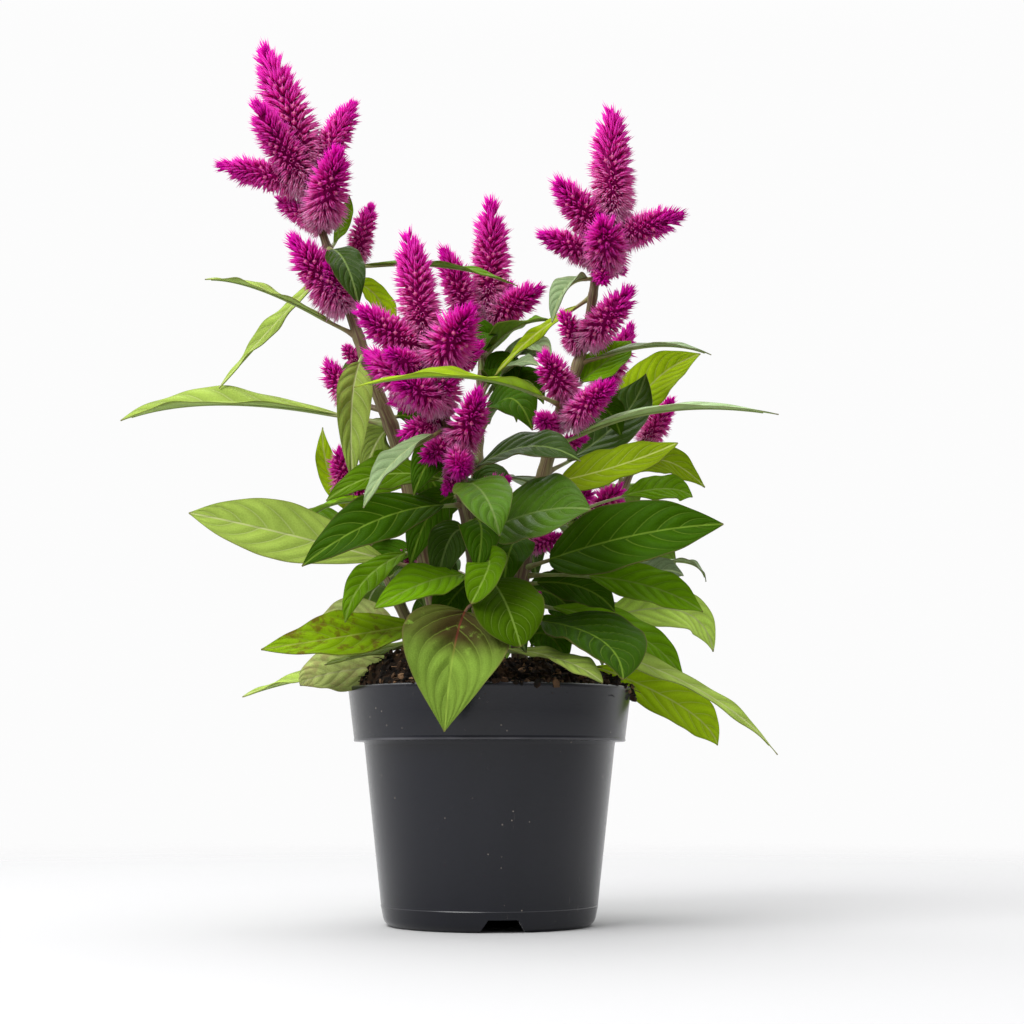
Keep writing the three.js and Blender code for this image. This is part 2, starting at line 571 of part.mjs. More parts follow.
function potSolid() {
  const ledge = POT_HEIGHT - RIM_DEPTH;
  const profile = [
    [0, 0],
    [PAD_RADIUS, 0],
    [PAD_RADIUS + PAD_SLOPE, FLOOR_UNDERSIDE],
    [FOOT_RADIUS - FOOT_RING_WIDTH, FLOOR_UNDERSIDE],
    [FOOT_RADIUS - FOOT_RING_WIDTH, 0],
    [FOOT_RADIUS, 0],
    [FOOT_BEND_RADIUS, FOOT_BEND_HEIGHT],
    [BODY_FOOT_RADIUS, FOOT_LINE_HEIGHT],
    [BODY_TOP_RADIUS, ledge],
    [RIM_LIP_RADIUS, ledge],
    [RIM_RADIUS, POT_HEIGHT - RIM_ROUNDING],
    [RIM_RADIUS - RIM_ROUNDING, POT_HEIGHT],
    [RIM_RADIUS - WALL, POT_HEIGHT - RIM_ROUNDING],
    [RIM_LIP_RADIUS - WALL, ledge + WALL],
    [BODY_TOP_RADIUS - WALL, ledge],
    [BODY_FOOT_RADIUS - WALL, FLOOR_TOP + FLOOR_ROUNDING],
    [BODY_FOOT_RADIUS - WALL - FLOOR_ROUNDING, FLOOR_TOP],
    [0, FLOOR_TOP],
  ].map(([radius, z]) => new THREE.Vector2(radius, z));
  const shell = new THREE.LatheGeometry(profile, POT_SIDES).rotateX(Math.PI / 2);
  const notch = new THREE.Shape([
    new THREE.Vector2(-NOTCH_FOOT_WIDTH / 2, -1),
    new THREE.Vector2(NOTCH_FOOT_WIDTH / 2, -1),
    new THREE.Vector2(NOTCH_TOP_WIDTH / 2, FLOOR_UNDERSIDE),
    new THREE.Vector2(-NOTCH_TOP_WIDTH / 2, FLOOR_UNDERSIDE),
  ]);
  const cutter = new THREE.ExtrudeGeometry(notch, { depth: NOTCH_REACH, bevelEnabled: false })
    .rotateX(Math.PI / 2).rotateZ(Math.PI / 2)
    .translate(BODY_FOOT_RADIUS + NOTCH_OVERRUN - NOTCH_REACH, 0, 0);
  const cutters = NOTCH_ANGLES.map((angle) => cutter.clone().rotateZ(THREE.MathUtils.degToRad(angle)));
  return cutters.reduce((pot, tool) => pot.subtract(solidOf(tool)), solidOf(shell));
}

function soilSolid(stems) {
  const random = seeded(SOIL_SEED);
  const ledge = POT_HEIGHT - RIM_DEPTH;
  const ringAt = (radius, height) => Array.from({ length: SOIL_SECTORS }, (unused, k) => {
    const angle = (k / SOIL_SECTORS) * Math.PI * 2;
    return new THREE.Vector3(Math.cos(angle) * radius, Math.sin(angle) * radius, height);
  });
  const heaped = (radius) => {
    const outward = radius / SOIL_EDGE_RADIUS;
    return ringAt(radius, SOIL_EDGE_HEIGHT + SOIL_MOUND * (1 - outward ** 3)).map((p) => {
      const angle = Math.atan2(p.y, p.x);
      const swell = SOIL_SWELL_TWO * Math.sin(angle * 2 + 1) + SOIL_SWELL_THREE * Math.cos(angle * 3);
      return p.setZ(p.z + outward * swell + (random() - 0.5) * SOIL_CRUMB);
    });
  };
  const rings = [
    ringAt(BODY_FOOT_RADIUS - WALL - FLOOR_ROUNDING - SOIL_WALL_GAP, FLOOR_TOP + SOIL_GAP),
    ringAt(BODY_TOP_RADIUS - WALL - SOIL_WALL_GAP, ledge),
    ringAt(RIM_LIP_RADIUS - WALL - SOIL_LEDGE_GAP, ledge + WALL + SOIL_WALL_GAP),
    ringAt(SOIL_EDGE_RADIUS, SOIL_EDGE_HEIGHT),
    ...SOIL_RINGS.map(heaped),
  ];
  const solid = solidOf(loftGeometry(rings, new THREE.Vector3(0, 0, FLOOR_TOP + SOIL_GAP),
    new THREE.Vector3(0, 0, SOIL_EDGE_HEIGHT + SOIL_MOUND)));
  return stems.reduce((soil, stem) => soil.subtract(stemSolid(stem, HOLE_GAP)), solid);
}

const plant = new THREE.Group();
plant.add(meshOf("pot", potSolid(), COLOURS.pot));
plant.add(meshOf("soil", soilSolid(Object.values(LEAFY_STEMS)), COLOURS.soil));

for (const [name, stem] of Object.entries(LEAFY_STEMS)) {
  const leaves = Object.values(stem.leaves).map((leaf) => leafSolid(stem, leaf));
  plant.add(meshOf(name, union([stemSolid(stem), ...leaves]), COLOURS.leaf));
}

let seed = FIRST_SPIKE_SEED;
for (const [name, head] of Object.entries(FLOWER_HEADS)) {
  const spikes = head.spikes.map((spike, i) => spikeSolid(spike, seed + i));
  seed += head.spikes.length;
  if (head.core) spikes.push(tubeSolid(head.core, CORE_RADII, 0));
  const hole = stemSolid(LEAFY_STEMS[head.stem], HOLE_GAP);
  plant.add(meshOf(name, union(spikes).subtract(hole), COLOURS.flower));
}

export default plant;
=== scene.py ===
"""Potted feather celosia, dressed: waved and veined leaves, ribbed stems, flower spikes of hundreds of
florets, crumbly peat and a moulded nursery pot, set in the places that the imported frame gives."""

import logging
import math
from dataclasses import dataclass, field
from enum import Enum
from functools import reduce

import bmesh
import bpy
import numpy as np
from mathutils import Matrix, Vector, noise


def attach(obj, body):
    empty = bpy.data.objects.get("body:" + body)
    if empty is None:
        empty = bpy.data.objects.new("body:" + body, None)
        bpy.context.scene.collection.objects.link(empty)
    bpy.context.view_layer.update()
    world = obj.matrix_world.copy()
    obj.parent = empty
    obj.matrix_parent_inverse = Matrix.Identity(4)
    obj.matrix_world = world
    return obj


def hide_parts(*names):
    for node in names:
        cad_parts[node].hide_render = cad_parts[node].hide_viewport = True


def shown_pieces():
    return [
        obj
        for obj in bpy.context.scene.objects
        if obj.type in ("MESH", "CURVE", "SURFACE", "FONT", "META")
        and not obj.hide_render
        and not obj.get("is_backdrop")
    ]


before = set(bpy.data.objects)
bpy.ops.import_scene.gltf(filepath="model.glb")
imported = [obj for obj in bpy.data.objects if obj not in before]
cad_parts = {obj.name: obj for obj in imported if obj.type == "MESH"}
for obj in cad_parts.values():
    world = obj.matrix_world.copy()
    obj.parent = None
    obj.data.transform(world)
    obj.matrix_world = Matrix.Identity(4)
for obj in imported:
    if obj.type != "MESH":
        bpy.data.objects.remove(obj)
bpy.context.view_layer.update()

log = logging.getLogger("celosia")

MM = 0.001
TURN = 2 * math.pi
GOLDEN_TURN = math.pi * (3 - math.sqrt(5))

Point = tuple[float, float, float]
Colour = tuple[float, float, float]
Array = np.ndarray
Node = bpy.types.Node
Socket = bpy.types.NodeSocket
Tree = bpy.types.NodeTree
Material = bpy.types.Material
Piece = bpy.types.Object
GEOMETRY_OUT = {"Geometry": "NodeSocketGeometry"}
LEVEL: Point = (0, -0.3, 1)


class Look(Enum):
    """The finishes that a leaf can have, by its place in a leafy stem's material slots."""

    SUNLIT = 0
    FRESH = 1
    RICH = 2
    GLOSSY = 3
    # grey-green leaf with painted reflection: its silvery sheen is painted into its colour
    SILVER = 4
    PALE = 5
    STAINED = 6
    # light green leaf with a dark upper part: partly its own red-brown blush, partly painted shade
    BLUSHED = 7
    DULL = 8


SUNLIT, FRESH, RICH, GLOSSY, SILVER, PALE, STAINED, BLUSHED, DULL = Look
STEM_SLOT = len(Look)
RIB_SLOT = len(Look) + 1


class Graph:
    """A node tree with short calls that add nodes and wire them."""

    def __init__(self, tree: Tree) -> None:
        """Keeps the shader or geometry tree to fill."""
        self.tree = tree

    def node(self, kind: str, inputs: dict | None = None, **settings: object) -> Node:
        """Adds one node.

        Args:
            kind: the node's type name.
            inputs: values or sockets for its inputs, by name or number.
            settings: the node's own properties.

        Returns:
            The node.
        """
        made = self.tree.nodes.new(kind)
        for name, value in settings.items():
            setattr(made, name, value)
        for key, value in (inputs or {}).items():
            self.feed(made.inputs[key], value)
        return made

    def feed(self, socket: Socket, value: object) -> None:
        """Wires a socket, or a node's first output, into an input, or sets the input's plain value.

        Args:
            socket: the input.
            value: a socket, a node or a plain value.
        """
        if isinstance(value, Node):
            value = value.outputs[0]
        if isinstance(value, Socket):
            self.tree.links.new(value, socket)
        elif isinstance(value, tuple) and socket.type == "RGBA" and len(value) == 3:
            socket.default_value = (*value, 1)
        else:
            socket.default_value = value

    def math(self, operation: str, *values: object) -> Socket:
        """Returns the result of a Math node on the values."""
        return self.node("ShaderNodeMath", dict(enumerate(values)), operation=operation).outputs[0]

    def plus(self, *values: object) -> Socket:
        """Returns the sum of the values."""
        return reduce(lambda first, second: self.math("ADD", first, second), values)

    def times(self, *values: object) -> Socket:
        """Returns the product of the values."""
        return reduce(lambda first, second: self.math("MULTIPLY", first, second), values)

    def line(self, value: object, slope: object, start: object) -> Socket:
        """Returns a value times a slope, plus a start."""
        return self.math("MULTIPLY_ADD", value, slope, start)

    def between(self, value: object, low: float, high: float) -> Socket:
        """Returns one where a value is over the low limit and under the high one, and otherwise nought."""
        return self.times(self.math("GREATER_THAN", value, low), self.math("LESS_THAN", value, high))

    def vector(self, operation: str, *values: object) -> Socket:
        """Returns the vector result of a Vector Math node on the values."""
        return self.node("ShaderNodeVectorMath", dict(enumerate(values)), operation=operation).outputs[0]

    def scaled(self, vector: object, factor: object) -> Socket:
        """Returns a vector times a number."""
        return self.node("ShaderNodeVectorMath", {0: vector, 3: factor}, operation="SCALE").outputs[0]

    def split(self, vector: object) -> tuple[Socket, ...]:
        """Returns the three numbers of a vector."""
        return tuple(self.node("ShaderNodeSeparateXYZ", {0: vector}).outputs)

    def joined(self, x: object = 0.0, y: object = 0.0, z: object = 0.0) -> Node:
        """Returns the vector of three numbers."""
        return self.node("ShaderNodeCombineXYZ", {0: x, 1: y, 2: z})

    def step(self, value: object, low: float, high: float, start: float = 0, end: float = 1) -> Socket:
        """Returns a smooth step: the start below the low limit, the end above the high one."""
        rule = {"Value": value, "From Min": low, "From Max": high, "To Min": start, "To Max": end}
        return self.node("ShaderNodeMapRange", rule, interpolation_type="SMOOTHSTEP").outputs[0]

    def blend(self, factor: object, first: object, second: object, mode: str = "MIX") -> Socket:
        """Mixes two colours.

        Args:
            factor: how much of the second.
            first: the colour below.
            second: the colour above.
            mode: the Mix node's blend mode.

        Returns:
            The mixed colour.
        """
        made = self.node("ShaderNodeMix", data_type="RGBA", blend_type=mode)
        for number, value in ((0, factor), (6, first), (7, second)):
            self.feed(made.inputs[number], value)
        return made.outputs[2]

    def shaded(self, colour: object, shade: object) -> Socket:
        """Returns a colour times a number."""
        grey = self.node("ShaderNodeCombineColor", dict.fromkeys(range(3), shade))
        return self.blend(1.0, colour, grey, "MULTIPLY")

    def noise(self, place: object, scale: object, detail: float = 3, roughness: float = 0.55) -> Socket:
        """Returns a noise texture's value at a place."""
        rule = {"Vector": place, "Scale": scale, "Detail": detail, "Roughness": roughness}
        return self.node("ShaderNodeTexNoise", rule).outputs[0]

    def place(self) -> Socket:
        """Returns the Object coordinates, in a shader tree."""
        return self.node("ShaderNodeTexCoord").outputs["Object"]

    def ramp(self, value: object, *stops: tuple[float, Colour]) -> Socket:
        """Colour ramp.

        Args:
            value: where to read it.
            stops: places and colours, in order.

        Returns:
            The colour.
        """
        made = self.node("ShaderNodeValToRGB", {0: value})
        elements = made.color_ramp.elements
        while len(elements) < len(stops):
            elements.new(1)
        for element, (place, colour) in zip(elements, stops):
            element.position = place
            element.color = (*colour, 1)
        return made.outputs[0]

    def mark(self, name: str, output: str = "Vector") -> Socket:
        """Returns an attribute of the mesh, in a shader tree."""
        return self.node("ShaderNodeAttribute", attribute_name=name).outputs[output]

    def named(self, name: str, sort: str = "FLOAT") -> Socket:
        """Returns an attribute of the points, in a geometry tree."""
        return self.node("GeometryNodeInputNamedAttribute", {"Name": name}, data_type=sort).outputs[0]

    def stored(self, geometry: object, name: str, value: object, sort: str = "FLOAT") -> Node:
        """Returns the geometry with an attribute stored on its points."""
        rule = {"Geometry": geometry, "Name": name, "Value": value}
        return self.node("GeometryNodeStoreNamedAttribute", rule, data_type=sort, domain="POINT")

    def random(self, low: object, high: object, seed: object, sort: str = "FLOAT") -> Socket:
        """Returns a random number, or a random vector, for each point.

        Args:
            low: the least value.
            high: the most.
            seed: sets it apart from others.
            sort: FLOAT or FLOAT_VECTOR.

        Returns:
            The number or the vector.
        """
        made = self.node("FunctionNodeRandomValue", data_type=sort)
        first, output = (2, 1) if sort == "FLOAT" else (0, 0)
        for number, value in ((first, low), (first + 1, high), (8, seed)):
            self.feed(made.inputs[number], value)
        return made.outputs[output]

    def strew(self, shape: Socket, collection: Node, **rule: object) -> None:
        """Adds a shape at points to what a Join Geometry node collects.

        Args:
            shape: the object to repeat.
            collection: the Join Geometry node.
            rule: the other inputs of Instance on Points.
        """
        source = self.node("GeometryNodeObjectInfo", {"Object": shape}).outputs["Geometry"]
        placed = self.node("GeometryNodeInstanceOnPoints", {"Instance": source, **rule})
        self.feed(collection.inputs[0], placed)

    def finish(self, result: Socket, geometry: object, material: Socket, smooth: bool = False) -> None:
        """Ends a geometry tree: the instances become real and get their material.

        Args:
            result: the tree's output.
            geometry: what it holds.
            material: the finish.
            smooth: whether its faces are shaded smooth.
        """
        real = self.node("GeometryNodeRealizeInstances", {"Geometry": geometry})
        if smooth:
            real = self.node("GeometryNodeSetShadeSmooth", {"Geometry": real})
        self.feed(result, self.node("GeometryNodeSetMaterial", {"Geometry": real, "Material": material}))


def new_group(name: str, kind: str, inputs: dict[str, tuple],
              outputs: dict[str, str]) -> tuple[Graph, dict[str, Socket], dict[str, Socket]]:
    """Starts a node group.

    Args:
        name: the group's name.
        kind: its tree type.
        inputs: socket type and default value of each input, by name.
        outputs: socket type of each output, by name.

    Returns:
        The graph, its input sockets by name and its result inputs by name.
    """
    tree = bpy.data.node_groups.new(name, kind)
    for label, (sort, value) in inputs.items():
        socket = tree.interface.new_socket(name=label, in_out="INPUT", socket_type=sort)
        if value is not None:
            socket.default_value = value
    for label, sort in outputs.items():
        tree.interface.new_socket(name=label, in_out="OUTPUT", socket_type=sort)
    graph = Graph(tree)
    given = graph.node("NodeGroupInput")
    result = graph.node("NodeGroupOutput")
    return graph, {s.name: s for s in given.outputs}, {s.name: s for s in result.inputs}


class GrainGroup:
    """Shared shader effect: a slow drift and a fine grain on Object coordinates, for colour and height."""

    name = "Grain and drift"

    @classmethod
    def tree(cls) -> Tree:
        """Builds the group once and returns it."""
        if cls.name in bpy.data.node_groups:
            return bpy.data.node_groups[cls.name]
        inputs = {"Grain Scale": ("NodeSocketFloat", 900.0), "Drift Scale": ("NodeSocketFloat", 40.0),
                  "Stretch": ("NodeSocketVector", (1, 1, 1))}
        outputs = {"Drift": "NodeSocketFloat", "Grain": "NodeSocketFloat"}
        g, given, result = new_group(cls.name, "ShaderNodeTree", inputs, outputs)
        place = g.vector("MULTIPLY", g.place(), given["Stretch"])
        g.feed(result["Drift"], g.noise(place, given["Drift Scale"], 2))
        g.feed(result["Grain"], g.noise(place, given["Grain Scale"], 4, 0.65))
        return g.tree

    @classmethod
    def on(cls, g: Graph, grain: float, drift: float, stretch: Point = (1, 1, 1)) -> tuple[Socket, ...]:
        """Returns the group's drift and grain in a material, at its own scales."""
        rule = {"Grain Scale": grain, "Drift Scale": drift, "Stretch": stretch}
        return tuple(g.node("ShaderNodeGroup", rule, node_tree=cls.tree()).outputs)


class VenationGroup:
    """Shared shader effect: midrib, side veins and the fine net between them, from a leaf's attributes."""

    name = "Leaf venation"

    @classmethod
    def tree(cls) -> Tree:
        """Builds the group once and returns it."""
        if cls.name in bpy.data.node_groups:
            return bpy.data.node_groups[cls.name]
        outputs = dict.fromkeys(("Midrib", "Veins", "Net", "Margin", "Puff"), "NodeSocketFloat")
        g, _, result = new_group(cls.name, "ShaderNodeTree", {}, outputs)
        across, along, _ = g.split(g.mark("blade"))
        offset, run, tone = g.split(g.mark("spread"))
        reach = g.math("ABSOLUTE", across)
        phase = g.split(g.mark("net"))[0]
        apart = g.math("ABSOLUTE", g.math("SUBTRACT", g.math("FRACT", phase), 0.5))
        vein = g.times(g.step(apart, 0.015, 0.065, 1, 0), g.step(reach, 0.55, 0.98, 1, 0.1))
        # Puff: one on the puffs between the veins; it drives the relief and the painted shade of the leaf
        # colour.
        g.feed(result["Puff"], g.times(g.step(apart, 0.0, 0.4), g.step(reach, 0.7, 1.0, 1, 0.2)))
        g.feed(result["Veins"], g.times(vein, g.step(along, 0.9, 1.0, 1, 0)))
        g.feed(result["Midrib"], g.step(g.math("ABSOLUTE", offset), 0.25, 0.6, 1, 0))
        place = g.joined(offset, run, g.times(tone, 9.0))
        cells = g.node("ShaderNodeTexVoronoi", {"Vector": place, "Scale": 0.75}, feature="DISTANCE_TO_EDGE")
        g.feed(result["Net"], g.step(cells.outputs[0], 0.0, 0.22, 1, 0))
        g.feed(result["Margin"], g.step(reach, 0.955, 0.985))
        return g.tree


class Skin(Graph):
    """A new material with a Principled shader, and the graph that paints it."""

    def __init__(self, name: str) -> None:
        """Starts the material under its name."""
        self.material = bpy.data.materials.new(name)
        self.material.use_nodes = True
        super().__init__(self.material.node_tree)
        self.shader = self.tree.nodes["Principled BSDF"]

    def paint(self, colour: object, roughness: object, specular: float,
              sheen: tuple[float, float] = (0, 0.5)) -> None:
        """Fills in the shader.

        Args:
            colour: its base colour.
            roughness: its roughness.
            specular: its specular level.
            sheen: weight and roughness of its sheen.
        """
        names = ("Base Color", "Roughness", "Specular IOR Level", "Sheen Weight", "Sheen Roughness")
        for name, value in zip(names, (colour, roughness, specular, *sheen)):
            self.feed(self.shader.inputs[name], value)

    def emboss(self, height: object, strength: float, distance: float) -> None:
        """Adds fine relief of a height, as a share of a distance in metres."""
        rule = {"Height": height, "Strength": strength, "Distance": distance}
        self.feed(self.shader.inputs["Normal"], self.node("ShaderNodeBump", rule))

    def glow_through(self, colour: object, share: float) -> None:
        """Lets light of a colour through a thin piece, on a share of its surface.

        Args:
            colour: the light's colour.
            share: the part that becomes a Translucent shader.
        """
        glow = self.node("ShaderNodeBsdfTranslucent", {"Color": colour})
        mixed = self.node("ShaderNodeMixShader", {0: share, 1: self.shader, 2: glow})
        self.feed(self.tree.nodes["Material Output"].inputs["Surface"], mixed)


class Finish:
    """A finish of the plant or its pot, which paints a material."""

    def material(self, name: str) -> Material:
        """Builds the finish.

        Args:
            name: the material's name.

        Returns:
            The material.
        """
        skin = Skin(name)
        self.fill(skin)
        return skin.material

    def fill(self, g: Skin) -> None:
        """Fills the material's graph, in each finish's own way."""
        raise NotImplementedError


@dataclass(frozen=True)
class LeafFinish(Finish):
    """One look of leaf: the colours of its two sides and its veins, and what marks it."""

    upper: Colour
    under: Colour
    vein: Colour
    roughness: float = 0.42
    veins: float = 0.55
    sheen: float = 0.0
    glow: float = 0.2
    margin: Colour = (0.16, 0.10, 0.05)
    mark: Colour | None = None
    mark_amount: float = 0.0
    mark_end: float = 1.2
    mark_from: float = 0.5
    mark_edge: float = 1.0
    rib: Colour | None = None
    gloss: float = 0.022
    quilt: float = 0.4
    light_through: Colour = (0.42, 0.66, 0.003)

    def fill(self, g: Skin) -> None:
        """Fills in both sides, the stains, the veins, the dry edge and painted shade in the valleys of the
        quilted blade.

        Args:
            g: the material's graph.
        """
        midrib, veins, net, edge, puff = g.node("ShaderNodeGroup", node_tree=VenationGroup.tree()).outputs
        side, along, underside = g.split(g.mark("blade"))
        tone = g.split(g.mark("spread"))[2]
        drift, grain = GrainGroup.on(g, 1500, 55)
        # The puff factor is painted shade: the blade is drawn darker in the valleys at the veins and lighter
        # on the puffs between them.
        shade = g.times(g.line(drift, 0.55, 0.72), tone, g.line(net, 0.12, 0.96), g.line(puff, 0.2, 0.87))
        colour = g.shaded(g.blend(underside, self.upper, self.under), shade)
        if self.mark is not None:
            patches = g.plus(g.noise(g.place(), 150, 5, 0.7), g.times(net, 0.02))
            spots = g.times(g.step(patches, self.mark_from, self.mark_from + 0.14), self.mark_amount,
                            g.step(along, self.mark_end - 0.25, self.mark_end, 1, 0),
                            g.step(g.math("ABSOLUTE", side), 0.2, 0.75, 1, self.mark_edge))
            colour = g.blend(spots, colour, self.mark)
        colour = g.blend(g.times(veins, self.veins), colour, self.vein)
        rib = self.vein if self.rib is None else g.blend(g.step(along, 0.35, 0.6), self.rib, self.vein)
        colour = g.blend(g.times(midrib, 0.85), colour, rib)
        colour = g.blend(g.times(edge, 0.35), colour, self.margin)
        colour = g.blend(g.step(along, 0.965, 1.0, 0, 0.7), colour, self.margin)
        g.paint(colour, g.line(grain, 0.25, self.roughness - 0.12), self.gloss, (self.sheen, 0.4))
        relief = g.line(grain, 0.3, g.line(veins, -0.8, g.times(net, -0.35)))
        quilted = g.times(puff, g.step(drift, 0.3, 0.7, 0.4, 1.3))
        g.emboss(g.line(quilted, self.quilt * 3, relief), 0.5, 0.0004)
        g.glow_through(g.blend(0.4, colour, self.light_through), self.glow)


LEAF_FINISHES: dict[Look, LeafFinish] = {
    SUNLIT: LeafFinish((0.35, 0.49, 0.010), (0.42, 0.54, 0.05), (0.56, 0.62, 0.16), 0.42, 0.45, glow=0.42),
    FRESH: LeafFinish((0.088, 0.19, 0.002), (0.17, 0.29, 0.03), (0.22, 0.34, 0.05), 0.4, 0.5, glow=0.22),
    RICH: LeafFinish((0.032, 0.088, 0.001), (0.10, 0.18, 0.015), (0.13, 0.22, 0.02), 0.42, 0.5, glow=0.1),
    GLOSSY: LeafFinish((0.032, 0.074, 0.003), (0.11, 0.18, 0.04), (0.14, 0.21, 0.05), 0.36, 0.45, glow=0.06,
                       gloss=0.09),
    # Grey-green leaf whose silvery look is painted reflection: the sheen that the leaves catch is painted
    # into its colour.
    SILVER: LeafFinish((0.215, 0.305, 0.14), (0.24, 0.34, 0.11), (0.36, 0.45, 0.21), 0.5, 0.5, 0.1, 0.1,
                       gloss=0.14),
    PALE: LeafFinish((0.35, 0.47, 0.085), (0.40, 0.51, 0.15), (0.55, 0.60, 0.26), 0.45, 0.35, 0.05, 0.3),
    STAINED: LeafFinish((0.20, 0.335, 0.004), (0.24, 0.35, 0.03), (0.30, 0.36, 0.06), 0.42, 0.3, glow=0.28,
                        mark=(0.12, 0.045, 0.010), mark_amount=0.75),
    # Light green leaf with a dark red-brown patch over its upper blade: partly its own blush, partly painted
    # shade over that part of the leaf.
    BLUSHED: LeafFinish((0.17, 0.275, 0.035), (0.19, 0.30, 0.05), (0.24, 0.36, 0.05), 0.5, 0.3, glow=0.12,
                        mark=(0.036, 0.014, 0.008), mark_amount=0.92, mark_end=0.6, mark_from=0.28,
                        mark_edge=0.75, rib=(0.13, 0.03, 0.02), quilt=0.8),
    DULL: LeafFinish((0.36, 0.42, 0.13), (0.44, 0.47, 0.20), (0.42, 0.43, 0.20), 0.55, 0.35, 0.05, 0.2,
                     mark=(0.28, 0.17, 0.10), mark_amount=0.5),
}


@dataclass(frozen=True)
class StemFinish(Finish):
    """Ribbed green bark with long brown-purple stripes."""

    green: Colour = (0.13, 0.115, 0.040)
    light: Colour = (0.23, 0.19, 0.085)
    stripe: Colour = (0.085, 0.030, 0.024)

    def fill(self, g: Skin) -> None:
        """Fills in the bark and its stripes.

        Args:
            g: the material's graph.
        """
        strand = g.mark("strand")
        streak = g.noise(strand, 3.2, 3, 0.6)
        fine = g.noise(strand, 11, 2, 0.5)
        drift, grain = GrainGroup.on(g, 1300, 35)
        stripes = g.times(g.step(g.line(drift, 0.35, streak), 0.62, 0.76), 0.8)
        g.paint(g.blend(stripes, g.ramp(fine, (0.3, self.green), (0.7, self.light)), self.stripe), 0.5, 0.35)
        g.emboss(g.line(grain, 0.3, fine), 0.4, 0.0005)


@dataclass(frozen=True)
class RibFinish(Finish):
    """Pale midribs and leaf stalks, greener far from the stem, and red on a blushed leaf."""

    pale: Colour = (0.25, 0.33, 0.085)
    flushed: Colour = (0.17, 0.12, 0.05)
    blushed: Colour = (0.15, 0.045, 0.03)

    def fill(self, g: Skin) -> None:
        """Fills in the rib, flushed near the stem.

        Args:
            g: the material's graph.
        """
        blush, along, _ = g.split(g.mark("blade"))
        drift, grain = GrainGroup.on(g, 900, 90)
        flush = g.times(g.step(along, 0.0, 0.45, 1, 0.1), g.step(drift, 0.4, 0.62))
        colour = g.blend(flush, self.pale, self.flushed)
        red = g.times(blush, g.step(along, 0.5, 0.85, 0.9, 0.15))
        g.paint(g.blend(red, colour, self.blushed), 0.48, 0.5)
        g.emboss(grain, 0.3, 0.0003)


@dataclass(frozen=True)
class BlossomFinish(Finish):
    """Papery florets: magenta at the tip, dusty pink with whitish ridges low down, with painted shade at
    their roots and a painted highlight on round buds.
    """

    gap_shade: Colour = (0.34, 0.002, 0.15)
    bead: Colour = (0.62, 0.008, 0.24)
    bud_highlight: Colour = (0.93, 0.34, 0.56)
    body: tuple = ((0.0, (0.98, 0.52, 0.78)), (0.25, (0.93, 0.16, 0.58)), (0.5, (0.87, 0.014, 0.49)),
                   (1.0, (0.76, 0.002, 0.46)))
    light: tuple = ((0.0, (0.98, 0.74, 0.88)), (0.3, (0.95, 0.46, 0.78)), (0.6, (0.93, 0.17, 0.70)),
                    (1.0, (0.84, 0.009, 0.58)))

    def fill(self, g: Skin) -> None:
        """Fills in petals by their place on the spike, round buds with a painted highlight, and painted
        shade at the florets' roots.

        Args:
            g: the material's graph.
        """
        names = ("place", "reach", "ridge", "bead", "tint")
        place, reach, ridge, bead, tint = (g.mark(name, "Fac") for name in names)
        where = g.plus(place, g.times(g.math("SUBTRACT", tint, 0.5), 0.2))
        ridges = g.times(ridge, g.step(reach, 0.2, 0.9, 0.35, 0.9))
        colour = g.blend(ridges, g.ramp(where, *self.body), g.ramp(where, *self.light))
        # Painted highlight: the upper part of each round bud is drawn pale pink.
        round_bud = g.blend(g.times(g.step(reach, 0.6, 0.84), 0.8), self.bead, self.bud_highlight)
        # Painted shade: each floret is drawn dark near its root, and so is the core, which has no reach
        # mark.
        colour = g.blend(g.step(reach, 0.0, 0.22, 1, 0), g.blend(bead, colour, round_bud), self.gap_shade)
        g.paint(colour, 0.5, 0.04)
        g.glow_through(colour, 0.5)


@dataclass(frozen=True)
class PeatFinish(Finish):
    """Moist dark peat with lighter brown fibres."""

    dark: Colour = (0.005, 0.0035, 0.0025)
    brown: Colour = (0.055, 0.029, 0.015)
    fibre: Colour = (0.26, 0.15, 0.08)

    def fill(self, g: Skin) -> None:
        """Fills in the peat, and the fibres by their tint.

        Args:
            g: the material's graph.
        """
        drift, grain = GrainGroup.on(g, 900, 130)
        colour = g.blend(g.step(drift, 0.4, 0.7), self.dark, self.brown)
        colour = g.blend(g.step(g.mark("tint", "Fac"), 0.74, 1.0), colour, self.fibre)
        g.paint(g.shaded(colour, g.line(grain, 1.1, 0.45)), g.step(grain, 0.3, 0.7, 0.7, 0.98), 0.12)
        g.emboss(grain, 0.9, 0.0009)


